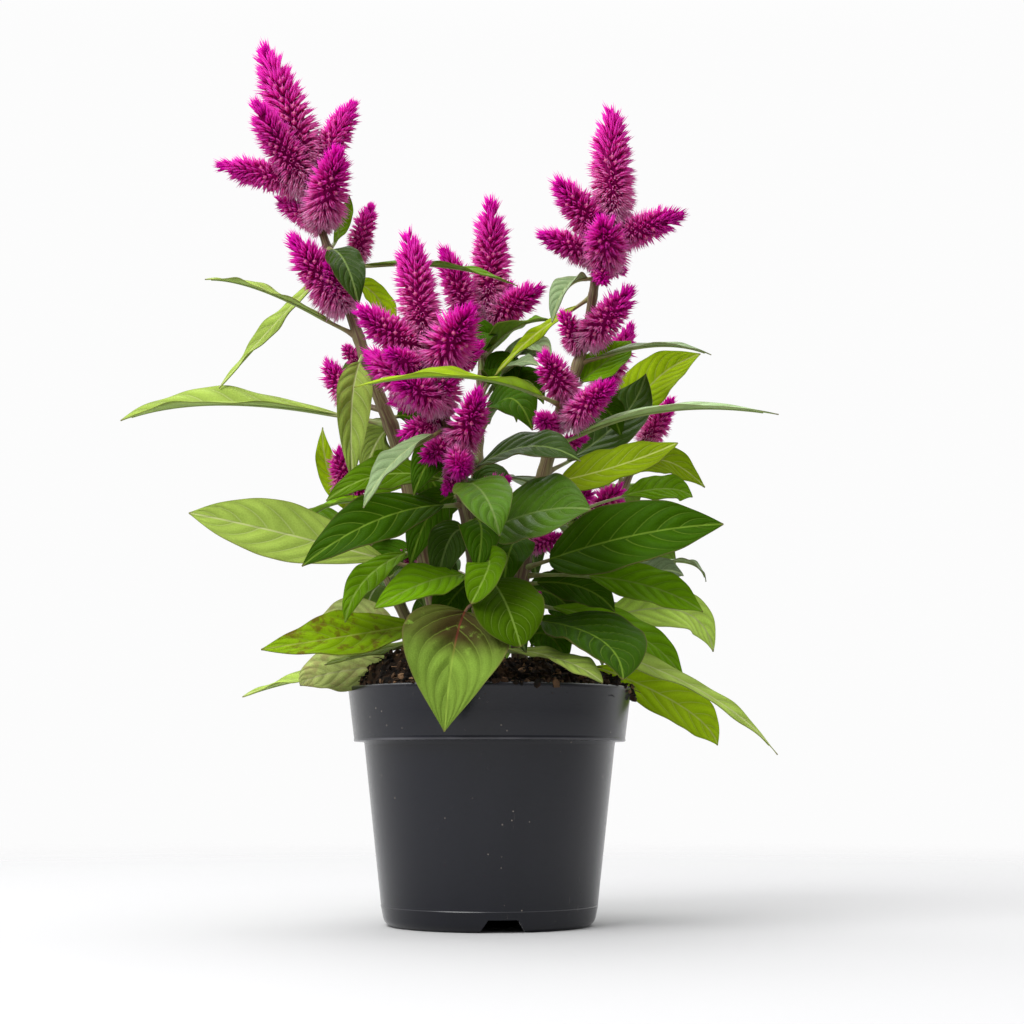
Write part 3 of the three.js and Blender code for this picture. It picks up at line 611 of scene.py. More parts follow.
@dataclass(frozen=True)
class PotFinish(Finish):
    """Charcoal moulded plastic with faint flow streaks, fine scratches, painted highlight lines along its
    rim edges and specks of dust.
    """

    body: Colour = (0.0016, 0.0022, 0.0060)
    worn: Colour = (0.0045, 0.0052, 0.0100)
    # colour of the painted highlight lines along the rim bead and the lip
    edge: Colour = (0.11, 0.11, 0.12)
    dust: Colour = (0.22, 0.19, 0.16)
    bead_foot: float = 0.0824
    bead_top: float = 0.0837
    lip: float = 0.1062

    def fill(self, g: Skin) -> None:
        """Fills in the plastic, its dust and the painted highlight lines along its edges.

        Args:
            g: the material's graph.
        """
        drift, grain = GrainGroup.on(g, 2200, 26, (1, 1, 0.6))
        flow, flow_grain = GrainGroup.on(g, 420, 60, (1, 1, 0.06))
        place = g.place()
        colour = g.blend(g.step(flow, 0.35, 0.75, 0.0, 0.5), self.body, self.worn)
        colour = g.blend(g.times(drift, 0.35), colour, self.worn)
        cells = g.node("ShaderNodeTexVoronoi", {"Vector": place, "Scale": 260.0, "Randomness": 1.0})
        speck = g.times(g.step(cells.outputs["Distance"], 0.05, 0.11, 1, 0),
                        g.step(g.noise(place, 60, 2), 0.52, 0.62))
        colour = g.blend(g.times(speck, 0.8), colour, self.dust)
        scratch = g.noise(g.vector("MULTIPLY", place, (1.0, 1.0, 0.09)), 700, 1, 0.4)
        lines = g.times(g.step(scratch, 0.7, 0.76), g.step(g.noise(place, 35, 2), 0.56, 0.7))
        colour = g.blend(g.times(lines, 0.12), colour, self.dust)
        height = g.split(place)[2]
        # Painted highlight: light lines along the bead under the rim band and along the lip.
        edge_highlight = g.times(g.step(height, self.bead_foot, self.bead_foot + 0.0003),
                         g.step(height, self.bead_top - 0.0005, self.bead_top, 1, 0))
        edge_highlight = g.math("MAXIMUM", edge_highlight, g.step(height, self.lip, self.lip + 0.0005))
        edge_highlight = g.times(edge_highlight, g.step(flow, 0.2, 0.7, 0.35, 1), 0.55)
        g.paint(g.blend(edge_highlight, colour, self.edge), g.line(grain, 0.12, 0.16), 0.42, (0.2, 0.2))
        g.emboss(g.line(flow_grain, 0.5, grain), 0.16, 0.0004)


def unit(vectors: Array) -> Array:
    """Returns vectors made one long."""
    return vectors / np.linalg.norm(vectors, axis=-1, keepdims=True)


def linked(made: Piece) -> Piece:
    """Puts an object in the scene and returns it."""
    bpy.context.scene.collection.objects.link(made)
    return made


@dataclass
class Surface:
    """A mesh under construction: points in metres, faces with slots, and point attributes."""

    points: list[Array] = field(default_factory=list)
    faces: list[list[int]] = field(default_factory=list)
    slots: list[int] = field(default_factory=list)
    marks: dict[str, list[Array]] = field(default_factory=dict)
    count: int = 0

    def loft(self, rings: Array, slot: int = 0, ends: tuple[Point, Point] | None = None,
             **marks: Array) -> None:
        """Adds a closed tube through rings, shut by a point at each end.

        Args:
            rings: points in millimetres, ring by ring, right-handed about the way from first to last.
            slot: the material slot.
            ends: the two end points; the middles of the end rings when left out.
            marks: vector attributes of the points, shaped as the rings.
        """
        rows, around = rings.shape[:2]
        first, last = (np.array(ends, float) if ends else rings[[0, -1]].mean(axis=1))
        row = np.arange(rows - 1)[:, None] * around
        here = np.arange(around)
        after = (here + 1) % around
        quads = np.stack([row + here, row + after, row + around + after, row + around + here], -1)
        top = (rows - 1) * around
        start = np.stack([np.full(around, top + around), after, here], -1)
        end = np.stack([np.full(around, top + around + 1), top + here, top + after], -1)
        for group in (quads.reshape(-1, 4), start, end):
            self.faces.extend((group + self.count).tolist())
            self.slots.extend([slot] * len(group))
        self.points.append(np.vstack([rings.reshape(-1, 3), first, last]) * MM)
        for name, values in marks.items():
            padded = np.vstack([values.reshape(-1, 3), values[[0, -1]].mean(axis=1)])
            self.marks.setdefault(name, [np.zeros((self.count, 3))]).append(padded)
        self.count += rows * around + 2
        for parts in self.marks.values():
            parts.append(np.zeros((self.count - sum(map(len, parts)), 3)))

    def made(self, name: str, materials: dict[int, Material], sharp: float = 60) -> Piece:
        """Turns the surface into an object.

        Args:
            name: the object's name.
            materials: finish of each slot.
            sharp: edges bent by more degrees than this are drawn sharp.

        Returns:
            The object.
        """
        mesh = bpy.data.meshes.new(name)
        mesh.from_pydata(np.vstack(self.points).tolist(), [], self.faces)
        used = sorted(set(self.slots))
        for slot in used:
            mesh.materials.append(materials[slot])
        mesh.polygons.foreach_set("material_index", [used.index(slot) for slot in self.slots])
        for label, parts in self.marks.items():
            values = mesh.attributes.new(label, "FLOAT_VECTOR", "POINT")
            values.data.foreach_set("vector", np.vstack(parts).ravel())
        mesh.shade_smooth()
        mesh.set_sharp_from_angle(angle=math.radians(sharp))
        mesh.update()
        return linked(bpy.data.objects.new(name, mesh))


def loose_mesh(name: str, points: list[Point], edges: object = (), faces: object = ()) -> Piece:
    """Makes an object from plain lists.

    Args:
        name: the object's name.
        points: its points in metres.
        edges: its loose edges.
        faces: its faces.

    Returns:
        The object.
    """
    mesh = bpy.data.meshes.new(name)
    mesh.from_pydata(points, edges, faces)
    return linked(bpy.data.objects.new(name, mesh))


def remove(pieces: object) -> None:
    """Removes helper objects that are no longer needed."""
    for piece in pieces:
        bpy.data.objects.remove(piece)


def dress(piece: Piece, node: str) -> Piece:
    """Lets a piece stand for a CAD node of the plant: it hangs from the root, and the node is hidden.

    Args:
        piece: the finished piece.
        node: the CAD node's name.

    Returns:
        The piece.
    """
    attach(piece, "root")
    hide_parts(node)
    return piece


def settle(piece: Piece) -> None:
    """Turns a piece's evaluated shape into its own plain mesh and drops the modifiers."""
    mesh = bpy.data.meshes.new_from_object(piece.evaluated_get(bpy.context.evaluated_depsgraph_get()))
    piece.modifiers.clear()
    piece.data = mesh
    mesh.name = piece.name


def grow(piece: Piece, tree: Tree, values: dict[str, object]) -> None:
    """Runs a geometry tree on a piece and keeps the result as its mesh.

    Args:
        piece: the object that carries the base mesh.
        tree: the tree.
        values: the modifier's inputs by name.
    """
    modifier = piece.modifiers.new(tree.name, "NODES")
    modifier.node_group = tree
    sockets = {item.name: item.identifier for item in tree.interface.items_tree if item.in_out == "INPUT"}
    for name, value in values.items():
        modifier[sockets[name]] = value
    settle(piece)


def smooth_curve(points: tuple[Point, ...], shares: Array) -> Array:
    """Centripetal Catmull-Rom curve, as the CAD's stems follow it.

    Args:
        points: the points that it passes.
        shares: places on it from 0 to 1.

    Returns:
        The points at those places.
    """
    knots = np.array(points, float)
    last = len(knots) - 1
    knots = np.vstack([2 * knots[0] - knots[1], knots, 2 * knots[-1] - knots[-2]])
    spans = np.linalg.norm(np.diff(knots, axis=0), axis=1) ** 0.5
    piece = np.minimum((shares * last).astype(int), last - 1)
    t = (shares * last - piece)[:, None]
    before, start, end, beyond = (knots[piece + shift] for shift in range(4))
    d0, d1, d2 = (spans[piece + shift][:, None] for shift in range(3))
    pull = ((start - before) / d0 - (end - before) / (d0 + d1) + (end - start) / d1) * d1
    push = ((end - start) / d1 - (beyond - start) / (d1 + d2) + (beyond - end) / d2) * d1
    square = 3 * (end - start) - 2 * pull - push
    return start + t * (pull + t * (square + t * (2 * (start - end) + pull + push)))


def turned(sides: int) -> Array:
    """Returns the angles of points evenly round a circle."""
    return np.arange(sides) / sides * TURN


def lathed(profile: tuple[tuple[object, object], ...], sides: int) -> list[Array]:
    """Returns the ring of points at each radius and height of a profile."""
    turn = turned(sides)
    return [np.stack(np.broadcast_arrays(np.cos(turn) * r, np.sin(turn) * r, z), -1) for r, z in profile]


def tube(surface: Surface, centres: Array, radii: Array, sides: int, slot: int = 0, ribs: float = 0.0,
         run: Array | None = None, **marks: Array) -> None:
    """Adds a round tube, with small ribs along it if asked.

    Args:
        surface: the mesh to add to.
        centres: its path in millimetres.
        radii: its radius at each point of the path.
        sides: points around it.
        slot: the material slot.
        ribs: height of the ribs as a share of the radius.
        run: how far the bark's stripes have run at each point of the path.
        marks: vector attributes, one row for each point of the path.
    """
    turn = turned(sides)
    along = unit(np.gradient(centres, axis=0))
    first = np.zeros_like(along)
    carried = np.cross(along[0], (0.3, 1.0, 0.1))
    for i, way in enumerate(along):
        carried = unit(carried - way * carried.dot(way))
        first[i] = carried
    second = np.cross(along, first)
    wave = radii[:, None] * (1 + ribs * np.cos(turn * sides / 2))
    out = first[:, None] * np.cos(turn)[:, None] + second[:, None] * np.sin(turn)[:, None]
    spread = {name: np.repeat(values[:, None], sides, axis=1) for name, values in marks.items()}
    if run is not None:
        spread["strand"] = np.stack(np.broadcast_arrays(np.cos(turn), np.sin(turn), run[:, None]), -1)
    surface.loft(centres[:, None] + out * wave[..., None], slot, tuple(centres[[0, -1]]), **spread)


EDGE_COLUMNS = (0.0, 0.06, 0.15, 0.25, 0.36, 0.47, 0.58, 0.69, 0.79, 0.88, 0.95, 1.0)


@dataclass(frozen=True)
class Leaf:
    """One leaf: its height on the stem, the point that its rib arches over, its tip, width and look."""

    at: float
    over: Point
    tip: Point
    wide: float
    look: Look
    face: Point = LEVEL
    belly: float = 0.44
    fold: float = 0.0
    wave: float = 1.0
    quilt: float = 1.0
    taper: float = 1.12
    # Brightness factor set leaf by leaf: partly the leaf's own tone, partly painted light and shade of where
    # the leaf hangs.
    light: float = 1.0
    petiole: float = 0.13
    pairs: float = 7.5
    row_step: float = 1.4
    skin: float = 0.45
    cup: float = math.sin(math.radians(12))
    ripple_height: float = 1.2
    ripple_turns: float = 13
    ripple_shift: float = 1.3
    fringe_height: float = 0.35
    fringe_turns: float = 31
    puff_height: float = 0.042
    vein_slant: float = 0.85
    vein_arc: float = 0.8
    vein_offset: float = 0.35
    stalk_radius: float = 1.3
    stalk_taper: float = 0.8
    stalk_rows: int = 34

    def rib(self, root: Array, shares: Array) -> tuple[Array, Array, Array]:
        """Follows the leaf's rib.

        Args:
            root: its point on the stem.
            shares: places along it from 0 to 1.

        Returns:
            The points, and the side and up directions at each.
        """
        tip = np.array(self.tip, float)
        control = 2 * np.array(self.over, float) - (root + tip) / 2
        t = shares[:, None]
        points = (1 - t) ** 2 * root + 2 * t * (1 - t) * control + t ** 2 * tip
        along = unit((1 - t) * (control - root) + t * (tip - control))
        side = unit(np.cross(along, self.face))
        return points, side, np.cross(side, along)

    def build(self, surface: Surface, root: Array, tone: float) -> None:
        """Adds the leaf's blade and rib to its stem's mesh.

        Args:
            surface: the mesh.
            root: the leaf's point on the stem.
            tone: how light the leaf is drawn, partly its own tone and partly painted light and shade, and
                what sets its waves apart from others.
        """
        length = np.linalg.norm(np.array(self.tip) - self.over) + np.linalg.norm(self.over - root)
        along = np.linspace(0.004, 0.996, int(np.clip(length / self.row_step, 22, 64)))[:, None]
        centre, side, up = self.rib(root, self.petiole + (1 - self.petiole) * along[:, 0])
        across = np.array([-a for a in reversed(EDGE_COLUMNS[1:])] + list(EDGE_COLUMNS))
        below = across[::-2]
        rise = self.taper * self.belly / (1 - self.belly)
        form = (along / self.belly) ** rise * ((1 - along) / (1 - self.belly)) ** self.taper
        half = np.maximum(self.wide / 2 * form, 0.25)
        lift = self.relief(across, along, half, length, tone)
        skin = centre[:, None] + side[:, None] * (across * half)[..., None]
        top = skin + up[:, None] * (lift + self.skin / 2)[..., None]
        beside = np.pad(lift, ((0, 0), (1, 1)), "edge")
        sunk = np.minimum(lift, np.minimum(beside[:, :-2], beside[:, 2:]))
        low = skin + up[:, None] * (sunk - self.skin / 2)[..., None]
        both = np.concatenate([across, below])
        under = np.repeat((0.0, 1.0), (len(across), len(below)))
        marks = {"blade": (both, along, under), "spread": (both * half, along * length, tone),
                 "net": (self.vein_phase(both, along, length), 0.0, 0.0)}
        surface.loft(np.concatenate([top, low[:, ::-2]], axis=1), self.look.value,
                     **{name: np.stack(np.broadcast_arrays(*values), -1) for name, values in marks.items()})
        self.stalk(surface, root, tone)

    def vein_phase(self, a: Array, s: Array, length: float) -> Array:
        """Counts the side veins up to a place: they leave the midrib and bend towards the tip.

        Args:
            a: place across, from -1 to 1.
            s: place along, from 0 to 1.
            length: the leaf's length in millimetres.

        Returns:
            The count, a whole number and a half on each vein.
        """
        reach = np.abs(a)
        share = self.wide / 2 / (length * (1 - self.petiole)) * reach
        bend = share * (self.vein_slant + self.vein_arc * reach)
        return (s - bend) * self.pairs + self.vein_offset * (a > 0)

    def relief(self, a: Array, s: Array, half: Array, length: float, tone: float) -> Array:
        """Height of the blade over its flat: cup, waves and the puffs between its side veins.

        Args:
            a: place across, from -1 to 1.
            s: place along, from 0 to 1.
            half: half width in millimetres.
            length: the leaf's length in millimetres.
            tone: the leaf's own number.

        Returns:
            The height in millimetres.
        """
        reach, right = np.abs(a), np.sign(a)
        cup = half * (self.cup + self.fold) * (1.25 * reach - 0.35 * reach ** 2)
        swing = np.sin(math.pi * s)
        turns = self.ripple_turns * s + right * self.ripple_shift
        ripple = self.ripple_height * np.sin(turns) * reach ** 1.5
        fringe = self.fringe_height * np.sin(self.fringe_turns * s + right * 0.7 + tone * 6) * reach ** 4
        waves = np.cos(TURN * self.vein_phase(a, s, length))
        puff = self.quilt * self.puff_height * half * waves * np.minimum(1, reach * 3.5) * (1 - reach ** 2)
        puff *= np.sqrt(swing) * np.clip((1 - s) / 0.3, 0, 1)
        return cup + self.wave * swing * (ripple + fringe) + puff

    def stalk(self, surface: Surface, root: Array, tone: float) -> None:
        """Adds the leaf's stalk and the midrib that it becomes, proud of the blade on both sides.

        Args:
            surface: the mesh.
            root: the leaf's point on the stem.
            tone: the leaf's own number.
        """
        shares = np.linspace(0, 0.94, self.stalk_rows)
        centre, _, up = self.rib(root, shares)
        radii = self.stalk_radius * (1 - self.stalk_taper * shares ** 0.45)
        radii *= 1 + 0.7 * np.exp(-((shares / 0.045) ** 2))
        sunk = np.clip((shares - self.petiole + 0.08) / 0.13, 0, 1) * (radii + 0.05)
        wear = np.stack(np.broadcast_arrays(self.look is BLUSHED, shares, tone), -1).astype(float)
        tube(surface, centre - up * sunk[:, None], radii, 8, RIB_SLOT, blade=wear)


@dataclass(frozen=True)
class LeafyStem:
    """A stem from the soil to its top, with its leaves and the stalks of its side spikes."""

    node: str
    path: tuple[Point, ...]
    radii: tuple[float, ...]
    leaves: tuple[Leaf, ...] = ()
    inner: tuple[Leaf, ...] = ()
    stalks: tuple[tuple[Point, ...], ...] = ()
    sides: int = 20
    stalk_sides: int = 12
    stalk_radii: tuple[float, ...] = (1.5, 1.2, 1.0)
    row_step: float = 2.2
    ribs: float = 0.05
    stripe_length: float = 75.0
    joint_swell: float = 0.16
    joint_length: float = 2.4

    def build(self, materials: dict[int, Material]) -> Piece:
        """Builds the stem in one piece with its leaves.

        Args:
            materials: finish of each slot.

        Returns:
            The object.
        """
        surface = Surface()
        random = np.random.default_rng(sum(map(ord, self.node)))
        fine = smooth_curve(self.path, np.linspace(0, 1, 600))
        self.branch(surface, self.path, self.radii, self.sides, [leaf.at for leaf in self.leaves])
        for path in self.stalks:
            self.branch(surface, path, self.stalk_radii, self.stalk_sides, [])
        for leaf in self.leaves + self.inner:
            root = np.array([np.interp(leaf.at, fine[:, 2], fine[:, axis]) for axis in range(3)])
            leaf.build(surface, root, leaf.light * (0.93 + 0.14 * float(random.random())))
        return dress(surface.made(self.node + "_foliage", materials), self.node)

    def branch(self, surface: Surface, path: tuple[Point, ...], radii: tuple[float, ...], sides: int,
               joints: list[float]) -> None:
        """Adds one ribbed branch, swollen where leaves join it.

        Args:
            surface: the mesh.
            path: its points.
            radii: its radius at each.
            sides: points around it.
            joints: heights of the leaf joints.
        """
        length = sum(math.dist(a, b) for a, b in zip(path, path[1:]))
        shares = np.linspace(0, 1, max(8, int(length / self.row_step)))
        centres = smooth_curve(path, shares)
        thick = np.interp(shares * (len(path) - 1), range(len(path)), radii)
        for height in joints:
            thick *= 1 + self.joint_swell * np.exp(-(((centres[:, 2] - height) / self.joint_length) ** 2))
        tube(surface, centres, thick, sides, STEM_SLOT, self.ribs, shares * length / self.stripe_length)


@dataclass(frozen=True)
class Spike:
    """One flower spike: its foot, its tip and its width over the florets."""

    foot: Point
    tip: Point
    wide: float


@dataclass(frozen=True)
class FloretKind:
    """A floret shape and the stretch of the spike that it grows on."""

    mesh: str
    low: float
    high: float
    girth: float
    reach: float
    luck: tuple[float, float] = (-1.0, 2.0)


FLORET_KINDS = (
    FloretKind("Plume", -1.0, 0.34, 1.4, 1.3),
    FloretKind("Bud", 0.34, 0.74, 1.3, 1.0, (-1.0, 0.25)),
    FloretKind("Point", 0.34, 0.74, 1.25, 1.25, (0.25, 2.0)),
    FloretKind("Point", 0.74, 2.0, 1.5, 1.5),
)


class FloretShapes:
    """The small floret meshes, one long and about one wide, that the spikes repeat."""

    def __init__(self) -> None:
        """Starts an empty shape, whose marks are height, ridge and bead."""
        self.points: list[Point] = []
        self.faces: list[tuple[int, ...]] = []
        self.marks: list[Point] = []

    def petal(self, turn: float, foot: Point, middle: Point, tip: Point, wide: float) -> None:
        """Adds a slender three-sided petal.

        Args:
            turn: its direction around the floret.
            foot: distance from the middle and height of its foot.
            middle: the same where it is widest.
            tip: the same for its tip.
            wide: its half width.
        """
        out = Vector((math.cos(turn), math.sin(turn), 0))
        side = Vector((-math.sin(turn), math.cos(turn), 0))
        base = len(self.points)
        for (away, height), half in ((foot, wide * 0.6), (middle, wide)):
            centre = out * away + Vector((0, 0, height))
            self.points += [tuple(centre + shift) for shift in (side * half, out * half * 0.7, -side * half)]
            self.marks += [(height, 0.15, 0.0), (height, 0.85, 0.0), (height, 0.15, 0.0)]
        self.points.append(tuple(out * tip[0] + Vector((0, 0, tip[1]))))
        self.marks.append((tip[1], 1.0, 0.0))
        a, b, top = base, base + 3, base + 6
        self.faces.append((a, a + 1, a + 2))
        self.faces += [(a + k, b + k, b + (k + 1) % 3, a + (k + 1) % 3) for k in range(3)]
        self.faces += [(b + k, top, b + (k + 1) % 3) for k in range(3)]

    def bead(self, sides: int, profile: tuple[tuple[float, float], ...]) -> None:
        """Adds a closed round bud.

        Args:
            sides: points around it.
            profile: height and radius of each ring; the last height is its point.
        """
        base = len(self.points)
        for height, radius in profile[:-1]:
            for turn in turned(sides):
                self.points.append((radius * math.cos(turn), radius * math.sin(turn), height))
                self.marks.append((height, 0.3, 1.0))
        self.points.append((0, 0, profile[-1][0]))
        self.marks.append((profile[-1][0], 1.0, 1.0))
        self.faces.append(tuple(base + k for k in reversed(range(sides))))
        for row in range(len(profile) - 2):
            low = base + row * sides
            self.faces += [(low + k, low + (k + 1) % sides, low + sides + (k + 1) % sides, low + sides + k)
                           for k in range(sides)]
        top = base + (len(profile) - 2) * sides
        self.faces += [(top + k, top + (k + 1) % sides, len(self.points) - 1) for k in range(sides)]

    def made(self, name: str) -> Piece:
        """Returns the shape as an object, with its marks as attributes.

        Args:
            name: the object's name.

        Returns:
            The object.
        """
        shape = loose_mesh(name, self.points, faces=self.faces)
        for label, values in zip(("reach", "ridge", "bead"), zip(*self.marks)):
            shape.data.attributes.new(label, "FLOAT", "POINT").data.foreach_set("value", values)
        return shape

    @classmethod
    def all(cls) -> dict[str, Piece]:
        """Makes the floret shapes.

        Returns:
            The three floret objects by name.
        """
        plume, bud, point = cls(), cls(), cls()
        for k in range(5):
            far = 0.30 + 0.10 * math.sin(k * 2.3)
            tip = (far, 1.0 - 0.09 * (k % 3))
            plume.petal(k / 5 * TURN, (0.06, 0.0), (0.14 + far * 0.3, 0.5), tip, 0.14)
        for k in range(4):
            tip = (0.34 + 0.1 * (k % 2), 1.08 - 0.12 * (k % 3))
            bud.petal(k / 4 * TURN, (0.10, 0.1), (0.2, 0.5), tip, 0.16)
        bud.bead(6, ((0.1, 0.18), (0.5, 0.32), (0.74, 0.24), (0.84, 0)))
        for k in range(3):
            point.petal(k / 3 * TURN, (0.05, 0.0), (0.13, 0.36), (0.10 + 0.16 * k, 1.0 - 0.12 * k), 0.24)
        return {"Plume": plume.made("plume"), "Bud": bud.made("bud"), "Point": point.made("point")}


@dataclass(frozen=True)
class SpikeTree:
    """The Geometry Nodes tree that clothes spike axes in florets, by the form of a spike."""

    density: float = 0.62
    gap: float = 1.05 * MM
    lean: float = 1.85
    foot: float = 0.66
    swell: float = 1.6
    taper: float = 4.2
    least: float = 0.05
    radius: float = 0.56
    core_share: float = 0.55

    def build(self) -> Tree:
        """Builds the tree.

        Returns:
            The tree, whose inputs are the floret shapes, the finish and the seed.
        """
        shapes = {kind.mesh: ("NodeSocketObject", None) for kind in FLORET_KINDS}
        inputs = {"Geometry": ("NodeSocketGeometry", None), **shapes, "Finish": ("NodeSocketMaterial", None),
                  "Seed": ("NodeSocketInt", 1)}
        g, given, result = new_group("Floret spikes", "GeometryNodeTree", inputs, GEOMETRY_OUT)
        axes = g.node("GeometryNodeMeshToCurve", {"Mesh": given["Geometry"]})
        wide = g.named("width")
        gap = g.line(wide, 0.08, self.gap)
        pitch = g.math("DIVIDE", g.times(gap, gap), g.times(wide, math.pi * self.density))
        dense = g.node("GeometryNodeResampleCurve", {"Curve": axes, "Length": pitch}, mode="LENGTH")
        place = g.node("GeometryNodeSplineParameter").outputs["Factor"]
        envelope = self.envelope(g, place, wide)
        tangent = g.node("GeometryNodeInputTangent")
        angle = g.times(g.node("GeometryNodeInputIndex"), GOLDEN_TURN)
        spin = {"Vector": g.node("GeometryNodeInputNormal"), "Axis": tangent, "Angle": angle}
        radial = g.node("ShaderNodeVectorRotate", spin, rotation_type="AXIS_ANGLE").outputs[0]
        lean = g.math("SUBTRACT", self.lean, g.times(g.math("POWER", place, 1.9), 1.6))
        outward = g.math("SINE", lean)
        heading = g.vector("ADD", g.scaled(tangent, g.math("COSINE", lean)), g.scaled(radial, outward))
        shake = g.random((-0.16,) * 3, (0.16,) * 3, given["Seed"], "FLOAT_VECTOR")
        droop = g.joined(z=g.step(place, 0.0, 0.5, -0.65, 0.0))
        heading = g.vector("ADD", g.vector("ADD", heading, shake), droop)
        reach = g.math("DIVIDE", g.times(envelope, 0.62), g.math("MAXIMUM", outward, 0.42))
        reach = g.math("MINIMUM", reach, g.times(wide, 0.32))
        reach = g.math("MAXIMUM", reach, g.times(wide, g.step(place, 0.7, 1.0, 0.24, 0.3)))
        stored = dense
        for name, value in (("place", place), ("tint", g.random(0, 1, 5)), ("heading", heading),
                            ("long", g.times(reach, g.random(0.84, 1.14, 3))),
                            ("girth", g.times(gap, g.step(place, 0.6, 1.0, 1.0, 0.85)))):
            stored = g.stored(stored, name, value, "FLOAT_VECTOR" if name == "heading" else "FLOAT")
        shift = g.scaled(radial, g.times(envelope, 0.4))
        roots = g.node("GeometryNodeSetPosition", {"Geometry": stored, "Offset": shift})
        place, long, girth = g.named("place"), g.named("long"), g.named("girth")
        heading = g.named("heading", "FLOAT_VECTOR")
        facing = g.node("FunctionNodeAlignRotationToVector", {"Vector": heading}, axis="Z")
        where = g.plus(place, g.random(-0.14, 0.1, 8))
        kept = g.math("LESS_THAN", g.random(0, 1, 10), g.step(place, 0.7, 0.95, 1.0, 0.66))
        luck = g.random(0, 1, 9)
        whole = g.node("GeometryNodeJoinGeometry")
        for kind in FLORET_KINDS:
            chosen = g.times(g.between(where, kind.low, kind.high), g.between(luck, *kind.luck), kept)
            thick = g.times(girth, kind.girth)
            g.strew(given[kind.mesh], whole, Points=roots, Selection=chosen, Rotation=facing,
                    Scale=g.joined(thick, thick, g.times(long, kind.reach)))
        # The core is a dark filler in painted shade between the florets.
        g.feed(whole.inputs[0], self.core(g, axes, wide))
        g.finish(result["Geometry"], whole, given["Finish"], smooth=True)
        return g.tree

    def envelope(self, g: Graph, place: Socket, wide: Socket) -> Socket:
        """Works out the spike's form.

        Args:
            g: the tree's graph.
            place: place along the spike, from 0 to 1.
            wide: the spike's width.

        Returns:
            The radius over its florets at that place.
        """
        belly = g.math("MINIMUM", g.line(place, self.swell, self.foot), 1.0)
        taper = g.math("SUBTRACT", 1.0, g.math("POWER", place, self.taper))
        form = g.math("MAXIMUM", g.times(belly, taper), self.least)
        return g.times(wide, self.radius, form)

    def core(self, g: Graph, axes: Node, wide: Socket) -> Socket:
        """Makes the dark core under the florets: it has no reach mark, so it takes the blossom's painted
        shade and darkens the gaps between them.

        Args:
            g: the tree's graph.
            axes: the node that holds the spikes' axes.
            wide: the spike's width.

        Returns:
            The core's mesh.
        """
        coarse = g.node("GeometryNodeResampleCurve", {"Curve": axes, "Count": 12}, mode="COUNT")
        place = g.node("GeometryNodeSplineParameter").outputs["Factor"]
        radius = g.times(self.envelope(g, place, wide), self.core_share)
        ring = g.node("GeometryNodeCurvePrimitiveCircle", {"Resolution": 10, "Radius": 1.0}, mode="RADIUS")
        rule = {"Curve": coarse, "Profile Curve": ring, "Scale": radius, "Fill Caps": True}
        return g.node("GeometryNodeCurveToMesh", rule).outputs[0]


@dataclass(frozen=True)
class FlowerHead:
    """Flower spikes that grow together, with the stretch of stem that their florets cover."""

    node: str
    spikes: tuple[Spike, ...]
    core: tuple[Point, Point] | None = None
    core_width: float = 13
    rows: int = 9
    short: float = 0.32
    bend: float = 0.02

    def build(self, tree: Tree, shapes: dict[str, Piece], finish: Material, seed: int) -> Piece:
        """Builds the head.

        Args:
            tree: the tree that adds florets.
            shapes: the floret objects.
            finish: the florets' material.
            seed: sets this head apart from others.

        Returns:
            The object.
        """
        random = np.random.default_rng(seed)
        points: list[Point] = []
        edges: list[tuple[int, int]] = []
        widths: list[float] = []
        spikes = self.spikes if self.core is None else (*self.spikes, Spike(*self.core, self.core_width))
        for spike in spikes:
            foot, tip = np.array(spike.foot, float), np.array(spike.tip, float)
            length = np.linalg.norm(tip - foot)
            end = tip - (tip - foot) / length * spike.wide * self.short
            t = np.linspace(0, 1, self.rows)[:, None]
            bend = random.normal(size=3) * self.bend * length
            points.extend(map(tuple, (foot + (end - foot) * t + bend * np.sin(math.pi * t)) * MM))
            edges += [(k, k + 1) for k in range(len(points) - self.rows, len(points) - 1)]
            widths += [spike.wide * MM] * self.rows
        piece = loose_mesh(self.node + "_florets", points, edges)
        piece.data.attributes.new("width", "FLOAT", "POINT").data.foreach_set("value", widths)
        grow(piece, tree, {**shapes, "Finish": finish, "Seed": seed})
        return dress(piece, self.node)


